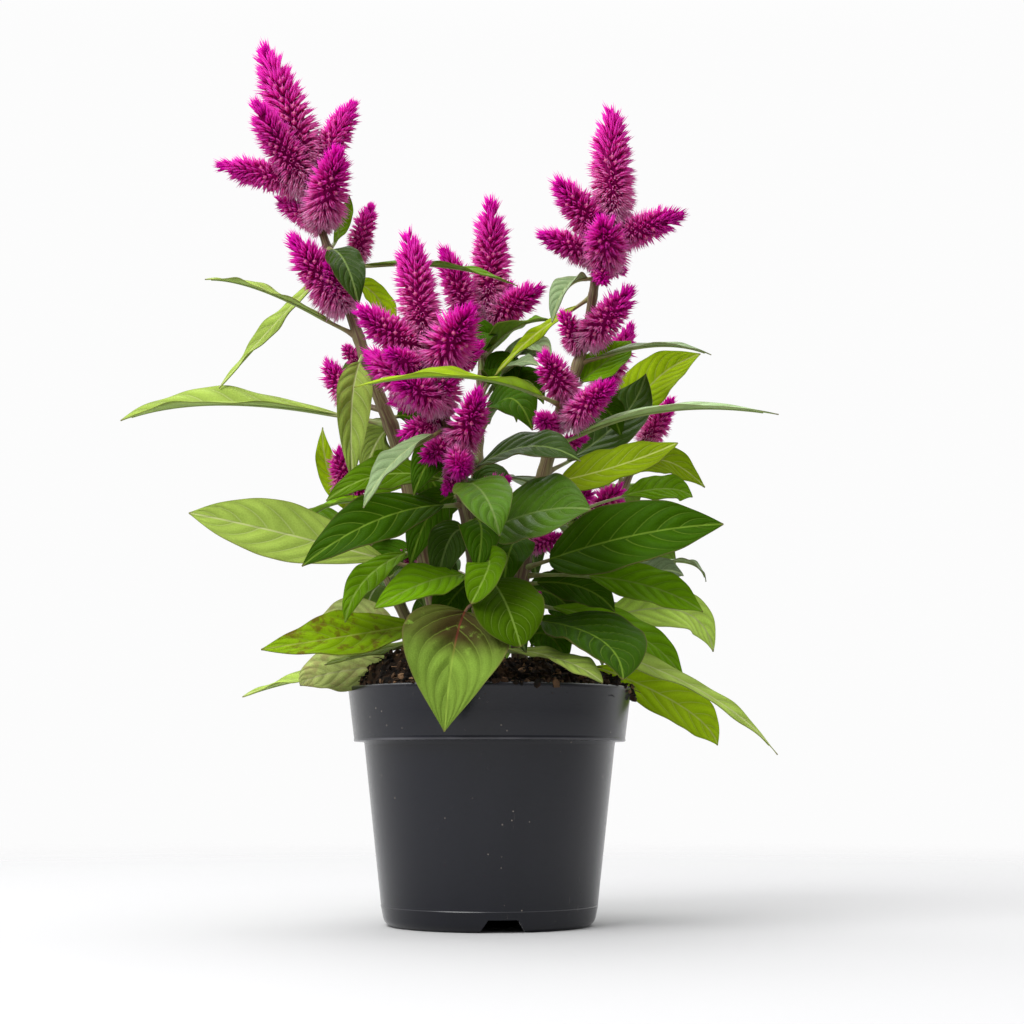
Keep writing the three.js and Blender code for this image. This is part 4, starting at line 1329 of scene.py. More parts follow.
LEAFY_STEMS = (
    LeafyStem("leafy_stem_left", radii=(4.4, 4.2, 3.6, 3.4, 3, 2.4, 1.9, 1.1), path=(
        (-17, 4, 58), (-20, 3, 112), (-30, 1, 165), (-44, -2, 222), (-54, -4, 248), (-66, -6, 283),
        (-78, -7, 317), (-87, -8, 350),
    ), stalks=(
        ((-72, -6, 300), (-65, 6, 306), (-63, 11, 315)),
        ((-50, -3, 236), (-60, 2, 240), (-69, 3, 246)),
        ((-57, -4, 255), (-61, 5, 259), (-64, 8, 264)),
        ((-30, 1, 162), (-34, 7, 164), (-38, 9, 168)),
    ), leaves=(
        Leaf(270, (-103, -13, 290), (-132, -20, 294), 14, PALE, light=0.95),
        Leaf(305, (-103, 9, 279), (-129, 12, 249), 12, PALE, (-1, -0.5, 0)),
        Leaf(312, (-67, -26, 301), (-60, -30, 279), 17, GLOSSY, (0.3, -1, 0), light=0.6),
        Leaf(311, (-70, 8, 330), (-68, 12, 344), 7, FRESH, (0, -1, 0.3), light=1.6),
        Leaf(303, (-26, -2, 306), (13, -5, 295), 11, FRESH),
        Leaf(298, (-54, 4, 292), (-47, 8, 272), 13, SUNLIT, (0, -1, 0.6), light=1.3),
        Leaf(229, (-121, 7, 241), (-175, 10, 233), 22, PALE, (0, -0.5, 1), belly=0.55, fold=0.25),
        Leaf(262, (-63, -26, 236), (-61.5, -30, 191), 17, PALE, (0.35, -1, 0), belly=0.42, fold=0.3,
             taper=1.6, light=0.78),
        Leaf(161, (-90, -9, 176), (-138, -15, 186), 30, PALE, (0.1, -1, 0.4), belly=0.5, wave=0.6,
             light=0.9),
        Leaf(172, (-54, -28, 156), (-64, -38, 134), 14, FRESH, (-0.2, -1, 0.3), light=1.1),
        Leaf(138, (-61, -30, 129), (-101, -40, 122), 28, STAINED, (0, -1, 0.9)),
        Leaf(130, (-50, -16, 123), (-74, -26, 116), 14, PALE, (0, -0.3, 1), light=0.75),
        Leaf(118, (-66, -12, 114), (-85, -22, 107), 24, DULL, (0, -1, 0.6), light=1.15),
        Leaf(121, (-80, 9, 113), (-115, 10, 103), 16, PALE, (0, -0.3, 1)),
        Leaf(250, (-62, 30, 262), (-68, 56, 246), 20, FRESH),
        Leaf(186, (-70, 18, 196), (-94, 26, 180), 20, FRESH, light=1.8),
    ), inner=(
        Leaf(214, (-44, 2, 210), (-56, 2, 196), 24, FRESH, (0, -1, 0.3)),
        Leaf(226, (-52, 4, 224), (-60, 8, 206), 20, PALE, (0, -1, 0.3), light=0.7),
        Leaf(206, (-28, -2, 204), (-18, -4, 182), 20, RICH, (0, -1, 0.3)),
        Leaf(180, (-30, 4, 176), (-14, 8, 158), 22, GLOSSY, (0, -1, 0.3)),
        Leaf(150, (-18, 6, 148), (-4, 6, 130), 22, RICH, (0, -1, 0.3)),
        Leaf(168, (-48, 10, 168), (-62, 12, 152), 18, RICH, (0, -1, 0.4)),
        Leaf(232, (-34, 6, 232), (-24, 8, 212), 18, RICH, (0, -1, 0.3)),
    )),
    LeafyStem("leafy_stem_centre", radii=(4, 3.8, 3.3, 2.8, 2.4, 1.9, 1.1), path=(
        (0, -14, 58), (-2, -15, 112), (-5, -19, 146), (-12, -27, 190), (-18, -34, 217), (-25, -39, 245),
        (-30, -40, 268),
    ), leaves=(
        Leaf(188, (-46, -54, 179), (-81, -66, 156), 26, RICH, (0, -1, 0.6), belly=0.47, light=0.75),
        Leaf(197, (-46, -34, 201), (-73, -40, 188), 19, FRESH, (0, -1, 0.7), light=0.85),
        Leaf(222, (-40, -66, 203), (-54, -76, 180), 13, SILVER, (-0.6, -1, 0.4), belly=0.4, fold=0.25),
        Leaf(198, (-3, -80, 186), (4, -93, 166), 24, GLOSSY, (0, -1, 0.6), belly=0.42, quilt=1.2, light=1.9),
        Leaf(172, (18, -60, 180), (43, -80, 179), 36, GLOSSY, (-0.2, -1, 0.5), belly=0.48, light=1.6),
        Leaf(199, (14, -60, 209), (39, -72, 201), 22, GLOSSY, (0, -1, 0.9), light=0.7),
        Leaf(159, (4, -62, 146), (13, -74, 121), 31, FRESH, (0.1, -1, 0.4), belly=0.56, quilt=1.2,
             taper=0.8, light=0.65, petiole=0.3),
        Leaf(158, (0, -62, 158), (-8, -77, 139), 18, FRESH, (-0.3, -1, 0.2), belly=0.6, fold=0.2,
             light=1.0, taper=0.7),
        Leaf(142, (-13, -64, 131), (-19, -80, 85), 46, BLUSHED, (0, -1, 0.3), belly=0.38, quilt=1.2,
             wave=1.3, petiole=0.36, pairs=5.5),
        Leaf(156, (-25, -48, 152), (-50, -64, 138), 22, FRESH, (0, -1, 0.8), light=1.4, belly=0.5),
        Leaf(124, (27, -54, 118), (48, -70, 106), 16, PALE, (0, -0.35, 1), belly=0.55, taper=0.8, light=0.9),
    ), inner=(
        Leaf(192, (-26, -24, 186), (-36, -28, 160), 20, RICH, (0, -1, 0.4)),
        Leaf(176, (-18, -32, 172), (-24, -34, 148), 18, GLOSSY, (0, -1, 0.3)),
        Leaf(180, (-4, -46, 176), (-6, -54, 154), 20, RICH, (0, -1, 0.3)),
        Leaf(214, (-26, -40, 208), (-34, -44, 190), 16, RICH, (0, -1, 0.4)),
        Leaf(136, (6, -34, 138), (16, -46, 120), 20, GLOSSY, (0, -1, 0.4)),
        Leaf(152, (-14, -36, 148), (-26, -44, 128), 20, RICH, (0, -1, 0.3)),
    )),
    LeafyStem("leafy_stem_right", radii=(4.2, 3.9, 3.4, 3.2, 3, 2.6, 2.3, 1.9, 1.1), path=(
        (16, -6, 58), (14, -7, 112), (13, -8, 147), (17, -8, 170), (30, -11, 225), (40, -12, 254),
        (45, -13, 272), (50, -14, 301), (59, -14, 330),
    ), stalks=(
        ((36, -12, 242), (46, -4, 245), (53, 3, 251)),
        ((21, -9, 188), (29, -5, 191), (35, -4, 196)),
    ), leaves=(
        Leaf(236, (-8, -82, 236), (-58, -88, 230), 19, SUNLIT, (0, -0.36, 1)),
        Leaf(288, (22, -7, 272), (2, -10, 251), 6.5, SUNLIT, (-0.5, -1, 0.4)),
        Leaf(296, (36, -32, 289), (28, -37, 270), 11, SILVER, (-0.8, -1, 0.1), belly=0.5, fold=0.5,
             wave=0.4),
        Leaf(244, (54, -9, 258), (66, -5, 269), 19, FRESH, (-0.3, -1, 0.5), light=2.1),
        Leaf(256, (74, -18, 264), (102, -20, 259), 12, SILVER, wave=0.4),
        Leaf(216, (74, -28, 231), (131, -32, 229), 12, SILVER, (0, -0.3, 1), fold=0.2, wave=0.4, light=1.5),
        Leaf(200, (55, -28, 205), (85, -32, 216), 23, SUNLIT, (0, -1, 0.7), belly=0.34, taper=0.9,
             light=0.75),
        Leaf(205, (60, 18, 233), (75, 22, 259), 26, GLOSSY, (-0.3, -1, 0.3)),
        Leaf(178, (70, 14, 200), (97, 24, 199), 17, FRESH, (0, -1, 0.7), belly=0.5, light=1.35, petiole=0.4),
        Leaf(161, (60, -42, 171.7), (103, -50, 176.7), 34, RICH, (0, -1, 0.4), belly=0.38, taper=1),
        Leaf(158, (62, -28, 153.5), (95, -34, 139.2), 21, FRESH, (0, -1, 0.6), light=1.5, petiole=0.3),
        Leaf(154, (40, -10, 153), (57, -13, 141), 20, RICH, (0, -1, 0.5)),
        Leaf(138, (46, -50, 127), (56, -77, 107), 38, RICH, (0.3, -1, 0.8), quilt=1.4, light=0.75),
        Leaf(146, (64, 2, 133.5), (90, 6, 110), 20, FRESH, (0.4, -1, 0.8), light=1.6),
        Leaf(134, (86, -14, 110), (129, -22, 76), 13, PALE, (0.5, -0.9, 1), belly=0.33, taper=1.5,
             light=1.1),
        Leaf(176, (36, 22, 186), (44, 46, 172), 22, FRESH),
    ), inner=(
        Leaf(176, (10, -26, 170), (6, -36, 148), 20, RICH, (0, -1, 0.3)),
        Leaf(150, (30, 6, 150), (44, 10, 134), 22, RICH, (0, -1, 0.4)),
        Leaf(190, (34, 10, 196), (48, 14, 182), 20, GLOSSY, (0, -1, 0.4)),
        Leaf(128, (26, -18, 130), (34, -30, 116), 20, RICH, (0, -1, 0.4), light=2),
        Leaf(232, (52, 8, 240), (62, 12, 226), 18, RICH, (0, -1, 0.4)),
    )),
    LeafyStem("leafy_stem_back", radii=(4, 3.8, 3.2, 2.6, 2, 1.1), path=(
        (-6, 26, 58), (-7, 32, 112), (-8, 44, 170), (-6, 56, 230), (-3, 65, 285), (-2, 66, 304),
    ), leaves=(
        Leaf(272, (10, 42, 285), (31, 30, 287), 22, FRESH, (0, -0.3, 1)),
        Leaf(264, (18, 42, 277), (30, 36, 269), 13, SILVER, (0, -1, 0.7), light=1.8),
        Leaf(250, (10, 36, 265), (24, 22, 262), 12, SILVER, (0, -1, 0.9), light=0.9),
        Leaf(232, (8, 20, 246), (20, 6, 228), 26, RICH, (0, -1, 0.4)),
        Leaf(220, (-20, 14, 230), (-30, 2, 214), 22, RICH, (0, -1, 0.5), light=0.8),
        Leaf(276, (-30, 78, 286), (-46, 92, 270), 18, FRESH),
        Leaf(262, (8, 92, 272), (14, 118, 252), 20, RICH),
        Leaf(222, (-34, 76, 234), (-60, 92, 214), 26, FRESH),
        Leaf(206, (18, 84, 216), (32, 112, 196), 26, GLOSSY),
        Leaf(190, (-16, 26, 202), (-24, 8, 182), 24, RICH, (0, -1, 0.3)),
        Leaf(172, (12, 28, 184), (22, 14, 158), 26, GLOSSY, (0, -1, 0.3)),
        Leaf(140, (-20, 24, 148), (-30, 14, 128), 26, RICH, (0, -1, 0.4)),
        Leaf(160, (-34, 74, 172), (-56, 100, 152), 28, RICH),
        Leaf(142, (4, 76, 150), (8, 112, 124), 28, FRESH),
        Leaf(124, (-26, 68, 124), (-36, 92, 92), 28, RICH),
    ), inner=(
        Leaf(156, (-2, 24, 160), (2, 6, 140), 26, RICH, (0, -1, 0.3)),
        Leaf(200, (-2, 36, 208), (-6, 20, 188), 24, GLOSSY, (0, -1, 0.3)),
        Leaf(180, (14, 40, 190), (30, 34, 172), 22, RICH, (0, -1, 0.4)),
        Leaf(214, (-22, 40, 222), (-34, 30, 204), 22, RICH, (0, -1, 0.4)),
        Leaf(268, (-6, 44, 284), (-9, 34, 262), 20, RICH, (0, -1, 0.3)),
        Leaf(254, (5, 44, 266), (6, 36, 246), 20, RICH, (0, -1, 0.3)),
        Leaf(256, (14, 46, 274), (27, 42, 268), 9, SILVER, (0, -1, 0.7)),
        Leaf(242, (14, 40, 258), (26, 34, 246), 18, RICH, (0, -1, 0.4)),
    )),
    LeafyStem("leafy_stem_back_right", radii=(3.6, 3.4, 2.8, 2.3, 1.7, 1.1), path=(
        (26, 20, 58), (30, 24, 112), (42, 32, 150), (58, 40, 190), (74, 48, 226), (78, 50, 236),
    ), stalks=(
        ((56, 39, 185), (52, 32, 190), (50, 25, 195)),
    ), leaves=(
        Leaf(204, (72, 36, 247), (104, 44, 273.4), 25, SUNLIT, (-0.3, -1, 0.3), belly=0.36, fold=0.2,
             taper=1, petiole=0.4),
        Leaf(208, (84, 56, 222), (108, 68, 210), 20, SUNLIT, (0, -1, 0.5), light=0.8),
        Leaf(152, (76, 36, 164), (94, 42, 163), 15, SILVER, (0, -1, 0.5), light=0.6),
        Leaf(160, (90, 46, 171), (106, 52, 161), 8, SILVER),
        Leaf(134, (88, 46, 147), (110, 60, 127), 25, PALE, (0.2, -1, 0.6), light=1.55),
        Leaf(124, (86, 24, 102), (108, 30, 81), 24, SUNLIT, (0.4, -1, 0.4), light=1.15),
        Leaf(200, (66, 82, 212), (72, 110, 196), 24, FRESH),
        Leaf(172, (78, 68, 180), (92, 88, 164), 24, RICH, light=1.7),
        Leaf(146, (50, 74, 150), (58, 104, 122), 28, GLOSSY),
    )),
    LeafyStem("leafy_stem_back_left", radii=(3.4, 3.2, 2.7, 2.1, 1.1), path=(
        (-24, 22, 58), (-28, 24, 112), (-44, 27, 150), (-60, 29, 185), (-70, 28, 206),
    ), leaves=(
        Leaf(186, (-77, 38, 210), (-82, 42, 236), 11, SUNLIT, (-0.2, -1, 0.2)),
        Leaf(132, (-66, 40, 142), (-86, 50, 133), 22, DULL, (0, -1, 0.5)),
        Leaf(168, (-82, 38, 188), (-112, 44, 180), 24, FRESH, (0, -0.6, 1)),
        Leaf(150, (-56, 60, 160), (-66, 92, 138), 26, RICH),
        Leaf(122, (-60, 54, 120), (-72, 72, 108), 22, DULL),
        Leaf(180, (-50, 17, 192), (-54, 5, 176), 16, SILVER, (0, -1, 0.4)),
    ), inner=(
        Leaf(140, (-30, 8, 142), (-20, -4, 124), 22, RICH, (0, -1, 0.3)),
        Leaf(160, (-38, 14, 162), (-30, 4, 144), 20, GLOSSY, (0, -1, 0.4)),
    )),
)

FLOWER_HEADS = (
    FlowerHead("flower_head_left", (
        Spike((-84, -8, 344), (-110, 0, 415.5), 22), Spike((-84, -8, 340), (-111, -26, 379), 18),
        Spike((-83, -8, 342), (-130, -8, 353), 15), Spike((-84, -8, 346), (-65, 4, 389), 16),
        Spike((-79, -10, 325), (-70, -30, 355), 20), Spike((-80, -6, 325), (-103, 6, 341), 13),
    ), core=((-79, -7, 321), (-87, -8, 352))),
    FlowerHead("flower_head_centre", (
        Spike((-29, -40, 256), (-38, -38, 314), 19), Spike((-29, -41, 254), (-60, -54, 273), 17),
        Spike((-25, -42, 248), (-7, -65, 271), 22), Spike((-27, -41, 246), (-46, -64, 251), 13),
        Spike((-31, -35, 237), (-57, -26, 260), 19), Spike((-24, -38, 242), (-3, -34, 262), 13),
        Spike((-22, -39, 232), (-43, -61, 240), 17), Spike((-22, -38, 232), (-20, -52, 248), 17),
        Spike((-22, -36, 224), (-42, -32, 218), 13), Spike((-23, -35, 236), (-47, -24, 236), 12),
    ), core=((-21, -36, 229), (-30, -40, 268))),
    FlowerHead("flower_head_centre_low", (
        Spike((-15, -35, 214), (-4, -57, 236), 17), Spike((-16, -35, 216), (-31, -48, 205), 13),
        Spike((-14, -36, 210), (-12, -60, 198), 14), Spike((-17, -34, 206), (-20, -44, 190), 8),
    ), core=((-15, -31, 204), (-17, -33, 215))),
    FlowerHead("side_bud_centre", (Spike((-11, -24, 189), (10, -34, 200), 11),)),
    FlowerHead("flower_head_right", (
        Spike((58, -14, 324), (57, -10, 383), 20), Spike((54, -14, 315), (29, -24, 342), 18),
        Spike((51, -14, 306), (21, -20, 317), 14), Spike((53, -14, 305), (51, -42, 318), 21),
        Spike((55, -14, 315), (91, -18, 327), 16), Spike((51, -13, 303), (65, -2, 303), 9),
        Spike((51, -15, 303), (52, -29, 290), 10),
    ), core=((51, -14, 302), (60, -14, 332))),
    FlowerHead("flower_head_back", (
        Spike((-2, 66, 298), (0, 68, 361), 20), Spike((-9, 63, 290), (-24, 56, 332), 17),
        Spike((-2, 66, 294), (27, 58, 312), 17), Spike((-2, 67, 292), (10, 90, 322), 16),
    ), core=((-3, 65, 287), (-2, 66, 308))),
    FlowerHead("side_spikes_left_upper", (
        Spike((-68, -9, 283), (-93, -22, 316), 19), Spike((-67, -9, 284), (-76, -24, 303), 12),
    )),
    FlowerHead("side_spike_left_behind", (Spike((-64, 9, 310), (-57, 16, 342), 12),)),
    FlowerHead("side_spike_left_middle", (Spike((-65, 3, 242), (-78, -3, 261), 13),)),
    FlowerHead("side_spike_left_small", (Spike((-62, 7, 260), (-70, 13, 271), 9),)),
    FlowerHead("side_bud_left_low", (Spike((-36, 8, 165), (-43, 11, 175), 8),)),
    FlowerHead("side_spikes_back_left", (
        Spike((-69, 28, 202), (-73, 24, 224), 13), Spike((-68, 28, 201), (-58, 18, 203), 8),
    )),
    FlowerHead("side_spikes_right_upper", (
        Spike((44, -14, 266), (66, -29, 290), 17), Spike((42, -13, 263), (32, -19, 281), 12),
    )),
    FlowerHead("side_spike_right_behind", (Spike((51, 1, 247), (68, 14, 282), 14),)),
    FlowerHead("side_spike_right_middle_left", (Spike((36, -15, 241), (23, -31, 259), 16),)),
    FlowerHead("side_spikes_right_middle", (
        Spike((36, -18, 227), (57, -36, 244), 15), Spike((31, -13, 226), (21, -31, 228), 12),
    )),
    FlowerHead("side_spike_right_inner", (Spike((28, -7, 219), (46, -3, 223), 9),)),
    FlowerHead("side_spike_right_low", (Spike((32, -4, 189), (48, -16, 196), 13),)),
    FlowerHead("side_bud_right_low", (Spike((18, -9, 171), (35, -20, 175), 9),)),
    FlowerHead("side_bud_right_base", (Spike((14, -11, 145), (23, -21, 149), 6),)),
    FlowerHead("side_spike_back_right_top", (Spike((76, 49, 230), (91, 57, 254), 13),)),
    FlowerHead("side_spike_back_right_inner", (Spike((50, 27, 191), (64, 22, 205), 15),)),
)


POT_HEIGHT = 107.0
RIM_DEPTH = 24.6
RIM_LIP_RADIUS = 62.0
BODY_TOP_RADIUS = 57.5
WALL = 1.8
FLOOR_TOP = 7.7
SOIL_FOOT_RADIUS = 44.3
SOIL_EDGE_RADIUS = 62.1
SOIL_EDGE_HEIGHT = 104.0


@dataclass(frozen=True)
class Litter:
    """Something strewn over the soil: how many a square metre, its sizes, how far it tips, and its seed."""

    name: str
    density: float
    least: float
    most: float
    tip: float
    seed: int
    spilt: bool = True


LITTERS = (Litter("Crumb", 120000.0, 0.5, 1.9, 3.2, 11), Litter("Grain", 130000.0, 0.3, 0.9, 3.2, 23, False),
           Litter("Fibre", 42000.0, 0.5, 1.5, 0.35, 37))


@dataclass(frozen=True)
class CrumbTree:
    """The Geometry Nodes tree that strews peat crumbs and root fibres over the heaped soil."""

    litters: tuple[Litter, ...] = LITTERS
    least_slope: float = 0.2

    def build(self) -> Tree:
        """Builds the tree.

        Returns:
            The tree, whose inputs are the shapes, the points of the spill and the finish.
        """
        names = [litter.name for litter in self.litters] + ["Spill"]
        things = dict.fromkeys(names, ("NodeSocketObject", None))
        inputs = {"Geometry": ("NodeSocketGeometry", None), **things, "Finish": ("NodeSocketMaterial", None)}
        g, given, result = new_group("Crumbs and fibres", "GeometryNodeTree", inputs, GEOMETRY_OUT)
        base = given["Geometry"]
        whole = g.node("GeometryNodeJoinGeometry", {0: base})
        spill = g.node("GeometryNodeObjectInfo", {"Object": given["Spill"]}).outputs["Geometry"]
        for litter in self.litters:
            points = self.strewn(g, base, litter)
            if litter.spilt:
                both = g.node("GeometryNodeJoinGeometry", {0: points})
                g.feed(both.inputs[0], spill)
                points = both.outputs[0]
            tinted = g.stored(points, "tint", g.random(0, 1, litter.seed + 1))
            spin = g.random((-litter.tip, -litter.tip, 0.0), (litter.tip, litter.tip, TURN), litter.seed + 2,
                            "FLOAT_VECTOR")
            size = g.random(litter.least * MM, litter.most * MM, litter.seed + 3)
            g.strew(given[litter.name], whole, Points=tinted, Rotation=spin, Scale=size)
        g.finish(result["Geometry"], whole, given["Finish"])
        return g.tree

    def strewn(self, g: Graph, base: Socket, litter: Litter) -> Socket:
        """Strews points on the faces of the heap that look up.

        Args:
            g: the tree's graph.
            base: the heap.
            litter: what is strewn.

        Returns:
            The points.
        """
        height = g.split(g.node("GeometryNodeInputPosition"))[2]
        slope = g.split(g.node("GeometryNodeInputNormal"))[2]
        chosen = g.times(g.math("GREATER_THAN", height, (SOIL_EDGE_HEIGHT - 2) * MM),
                         g.math("GREATER_THAN", slope, self.least_slope))
        rule = {"Mesh": base, "Selection": chosen, "Density": litter.density, "Seed": litter.seed}
        return g.node("GeometryNodeDistributePointsOnFaces", rule).outputs["Points"]


@dataclass(frozen=True)
class PottingSoil:
    """The heaped peat that fills the pot, with crumbs, fibres and what has spilt on the rim."""

    sectors: int = 96
    heap_radii: tuple[float, float, int] = (60.5, 1.2, 34)
    mound: float = 15.0
    swell_two: float = 2.4
    swell_three: float = 1.6
    knoll: tuple[float, float] = (-44.0, -24.0)
    knoll_height: float = 8.5
    knoll_spread: float = 14.0
    clods: float = 2.4
    spilt: tuple[Point, ...] = (
        (-84, 64.2, 107.6), (-80, 65.0, 107.0), (-76, 64.4, 107.8), (-72, 65.3, 106.2), (-87, 64.6, 107.3),
        (-150, 63.8, 107.6), (-146, 64.2, 107.8), (-139, 63.6, 108), (-133, 63.9, 107.4), (-126, 63, 108.4),
        (-20, 65.2, 106.6), (-16, 65.6, 104.6), (-14, 65.9, 102.4), (-18, 64.4, 107.7), (-10, 65.0, 107.4),
        (-6, 65.4, 105.6), (-4, 65.0, 107.2), (-88, 64.8, 107.3), (-92, 64.3, 107.7), (-78, 65.1, 106.6),
        (-11, 65.8, 101.5), (-9, 65.7, 104), (-61, 64.6, 107.6), (-64, 65.1, 106.8), (-67, 64.3, 107.8),
        (-121, 64.8, 107.2), (-117, 64.2, 107.7), (-28, 63.8, 108), (-36, 63.2, 108.2), (40, 64, 107.6),
        (100, 63.4, 107.8), (166, 64.2, 107.6), (172, 65.2, 106.8), (-179, 64.6, 107.5), (-170, 65.4, 106.9),
        (70, 63, 108),
    )

    def build(self, finish: Material) -> Piece:
        """Builds the soil.

        Args:
            finish: its material.

        Returns:
            The object.
        """
        ledge = POT_HEIGHT - RIM_DEPTH
        foot = FLOOR_TOP + 0.3
        form = ((SOIL_FOOT_RADIUS, foot), (BODY_TOP_RADIUS - WALL - 0.9, ledge),
                (RIM_LIP_RADIUS - WALL - 1.7, ledge + WALL + 0.9),
                (SOIL_EDGE_RADIUS - 0.6, SOIL_EDGE_HEIGHT - 2), (SOIL_EDGE_RADIUS, SOIL_EDGE_HEIGHT))
        rings = lathed(form, self.sectors) + [self.heaped(r) for r in np.linspace(*self.heap_radii)]
        surface = Surface()
        surface.loft(np.array(rings), 0, ((0, 0, foot), (0, 0, SOIL_EDGE_HEIGHT + self.mound)))
        piece = surface.made("potting_soil", {0: finish}, 180)
        shapes = {"Crumb": self.lump("crumb", 0.9), "Grain": self.lump("grain", 0.7), "Fibre": self.fibre(),
                  "Spill": self.spill()}
        grow(piece, CrumbTree().build(), {**shapes, "Finish": finish})
        remove(shapes.values())
        return dress(piece, "soil")

    def heaped(self, radius: float) -> Array:
        """Makes one ring of the heap, clodded by noise.

        Args:
            radius: the ring's radius.

        Returns:
            Its points.
        """
        turn = turned(self.sectors)
        outward = radius / SOIL_EDGE_RADIUS
        swell = self.swell_two * np.sin(turn * 2 + 1) + self.swell_three * np.cos(turn * 3)
        away = (np.cos(turn) * radius - self.knoll[0]) ** 2 + (np.sin(turn) * radius - self.knoll[1]) ** 2
        height = SOIL_EDGE_HEIGHT + self.mound * (1 - outward ** 3) + outward * swell
        height = height + self.knoll_height * np.exp(-away / self.knoll_spread ** 2)
        ring, = lathed(((radius, height),), self.sectors)
        calm = min(1.0, (1 - outward) * 12)
        for point in ring:
            clod = noise.fractal(Vector(point) * 0.16, 1.0, 2.0, 4) * self.clods
            point[2] += calm * (clod + noise.noise(Vector(point) * 0.5))
        return ring

    @staticmethod
    def lump(name: str, rough: float) -> Piece:
        """Makes a knobbly lump, about two wide.

        Args:
            name: its name.
            rough: how knobbly it is.

        Returns:
            The object.
        """
        work = bmesh.new()
        bmesh.ops.create_icosphere(work, subdivisions=1, radius=1)
        for vert in work.verts:
            vert.co *= 1 + rough * noise.noise(vert.co * 1.7 + Vector((3, 1, 7)))
            vert.co.x *= 1.25
            vert.co.z *= 0.7
        mesh = bpy.data.meshes.new(name)
        work.to_mesh(mesh)
        work.free()
        return linked(bpy.data.objects.new(name, mesh))

    @staticmethod
    def fibre() -> Piece:
        """Makes a thin bent root fibre.

        Returns:
            The object, about six long.
        """
        t = np.linspace(-1, 1, 5)
        centres = np.stack([3 * t, 0.8 * np.sin(2.2 * t), 0.5 - 0.4 * t ** 2], -1) / MM
        surface = Surface()
        tube(surface, centres, (0.17 - 0.07 * np.abs(t)) / MM, 4)
        return surface.made("fibre", {0: None})

    def spill(self) -> Piece:
        """Makes the loose points at which crumbs lie on the rim, given by angle, radius and height."""
        turns = [(math.radians(angle), radius * MM, height * MM) for angle, radius, height in self.spilt]
        return loose_mesh("spill", [(r * math.cos(turn), r * math.sin(turn), z) for turn, r, z in turns])


@dataclass(frozen=True)
class NurseryPot:
    """The moulded pot: a lathed shell with a bead under the rim band, a foot bend and drain notches."""

    sides: int = 176
    crease: float = 35
    notch_angles: tuple[float, ...] = (-83, 37, 157)
    notch_top_width: float = 13.0
    notch_foot_width: float = 20.0
    notch_height: float = 5.7
    notch_reach: tuple[float, float] = (37.0, 54.0)
    rib_heights: tuple[float, float] = (1.4, 8.7)
    rib_places: tuple[float, float] = (17.2, 13.8)
    rib_radius: float = 0.38
    profile: tuple[tuple[float, float], ...] = (
        (14, 0), (14.3, 0.4), (16, 5.7), (40.5, 5.7), (40.7, 5.5), (40.7, 0.4), (41.1, 0), (44.9, 0),
        (45.8, 0.35), (46.9, 1.3), (47.7, 2.5), (48.2, 3.9), (49.15, 8.6), (49.3, 8.9), (49.12, 9.2),
        (49.2, 9.7), (53.2, 45), (57.2, 80.6), (57.4, 81.8), (57.8, 82.35), (58.3, 82.4), (61.6, 82.4),
        (62.0, 82.55), (62.15, 83.0), (62.1, 83.7), (62.0, 84.1), (62.12, 84.6), (63.5, 95), (64.75, 105),
        (65, 106), (64.9, 106.5), (64.6, 106.85), (64.1, 107), (63.5, 106.9), (63.2, 106.4), (60.3, 84.6),
        (60.0, 84.2), (59.6, 84.2), (56.1, 84.2), (55.7, 83.8), (55.5, 82.0), (47.6, 9.4), (47.3, 8.5),
        (46.6, 7.8), (45.8, 7.7),
    )

    def build(self, finish: Material) -> Piece:
        """Builds the pot.

        Args:
            finish: its material.

        Returns:
            The object.
        """
        surface = Surface()
        surface.loft(np.array(lathed(self.profile, self.sides)), 0, ((0, 0, 0), (0, 0, FLOOR_TOP)))
        for angle in self.notch_angles:
            for side in (-1, 1):
                self.rib(surface, math.radians(angle), side)
        shell = surface.made("nursery_pot", {0: finish}, self.crease)
        cutter = self.cutter()
        notch = shell.modifiers.new("notches", "BOOLEAN")
        notch.operation = "DIFFERENCE"
        notch.solver = "EXACT"
        notch.object = cutter
        settle(shell)
        remove([cutter])
        shell.data.set_sharp_from_angle(angle=math.radians(self.crease))
        return dress(shell, "pot")

    def rib(self, surface: Surface, turn: float, side: int) -> None:
        """Adds the slanted rib beside a notch, half sunk in the wall.

        Args:
            surface: the mesh.
            turn: direction of the notch.
            side: which side of it, -1 or 1.
        """
        heights = np.linspace(*self.rib_heights, 9)
        outer = self.profile[9:15]
        radii = np.interp(heights, [z for _, z in outer], [r for r, _ in outer])
        around = turn + side * np.interp(heights, self.rib_heights, self.rib_places) / radii
        centres = np.stack([np.cos(around) * radii, np.sin(around) * radii, heights], -1)
        tube(surface, centres, np.full(9, self.rib_radius), 8)

    def cutter(self) -> Piece:
        """Makes the three notch-shaped prisms that are cut from the foot.

        Returns:
            The object.
        """
        points: list[Point] = []
        faces: list[tuple[int, ...]] = []
        slope = (self.notch_foot_width - self.notch_top_width) / 2 / self.notch_height
        section = ((self.notch_foot_width / 2 + slope, -1.0),
                   (self.notch_top_width / 2, self.notch_height - 0.1))
        for angle in self.notch_angles:
            turn = math.radians(angle)
            base = len(points)
            for reach in self.notch_reach:
                for half, height in section:
                    for across in (-half, half):
                        x = reach * math.cos(turn) - across * math.sin(turn)
                        y = reach * math.sin(turn) + across * math.cos(turn)
                        points.append((x * MM, y * MM, height * MM))
            quads = ((2, 3, 1, 0), (5, 7, 6, 4), (1, 5, 4, 0), (6, 7, 3, 2), (4, 6, 2, 0), (3, 7, 5, 1))
            faces += [tuple(base + k for k in quad) for quad in quads]
        made = loose_mesh("notch cutter", points, faces=faces)
        made.hide_render = True
        return made


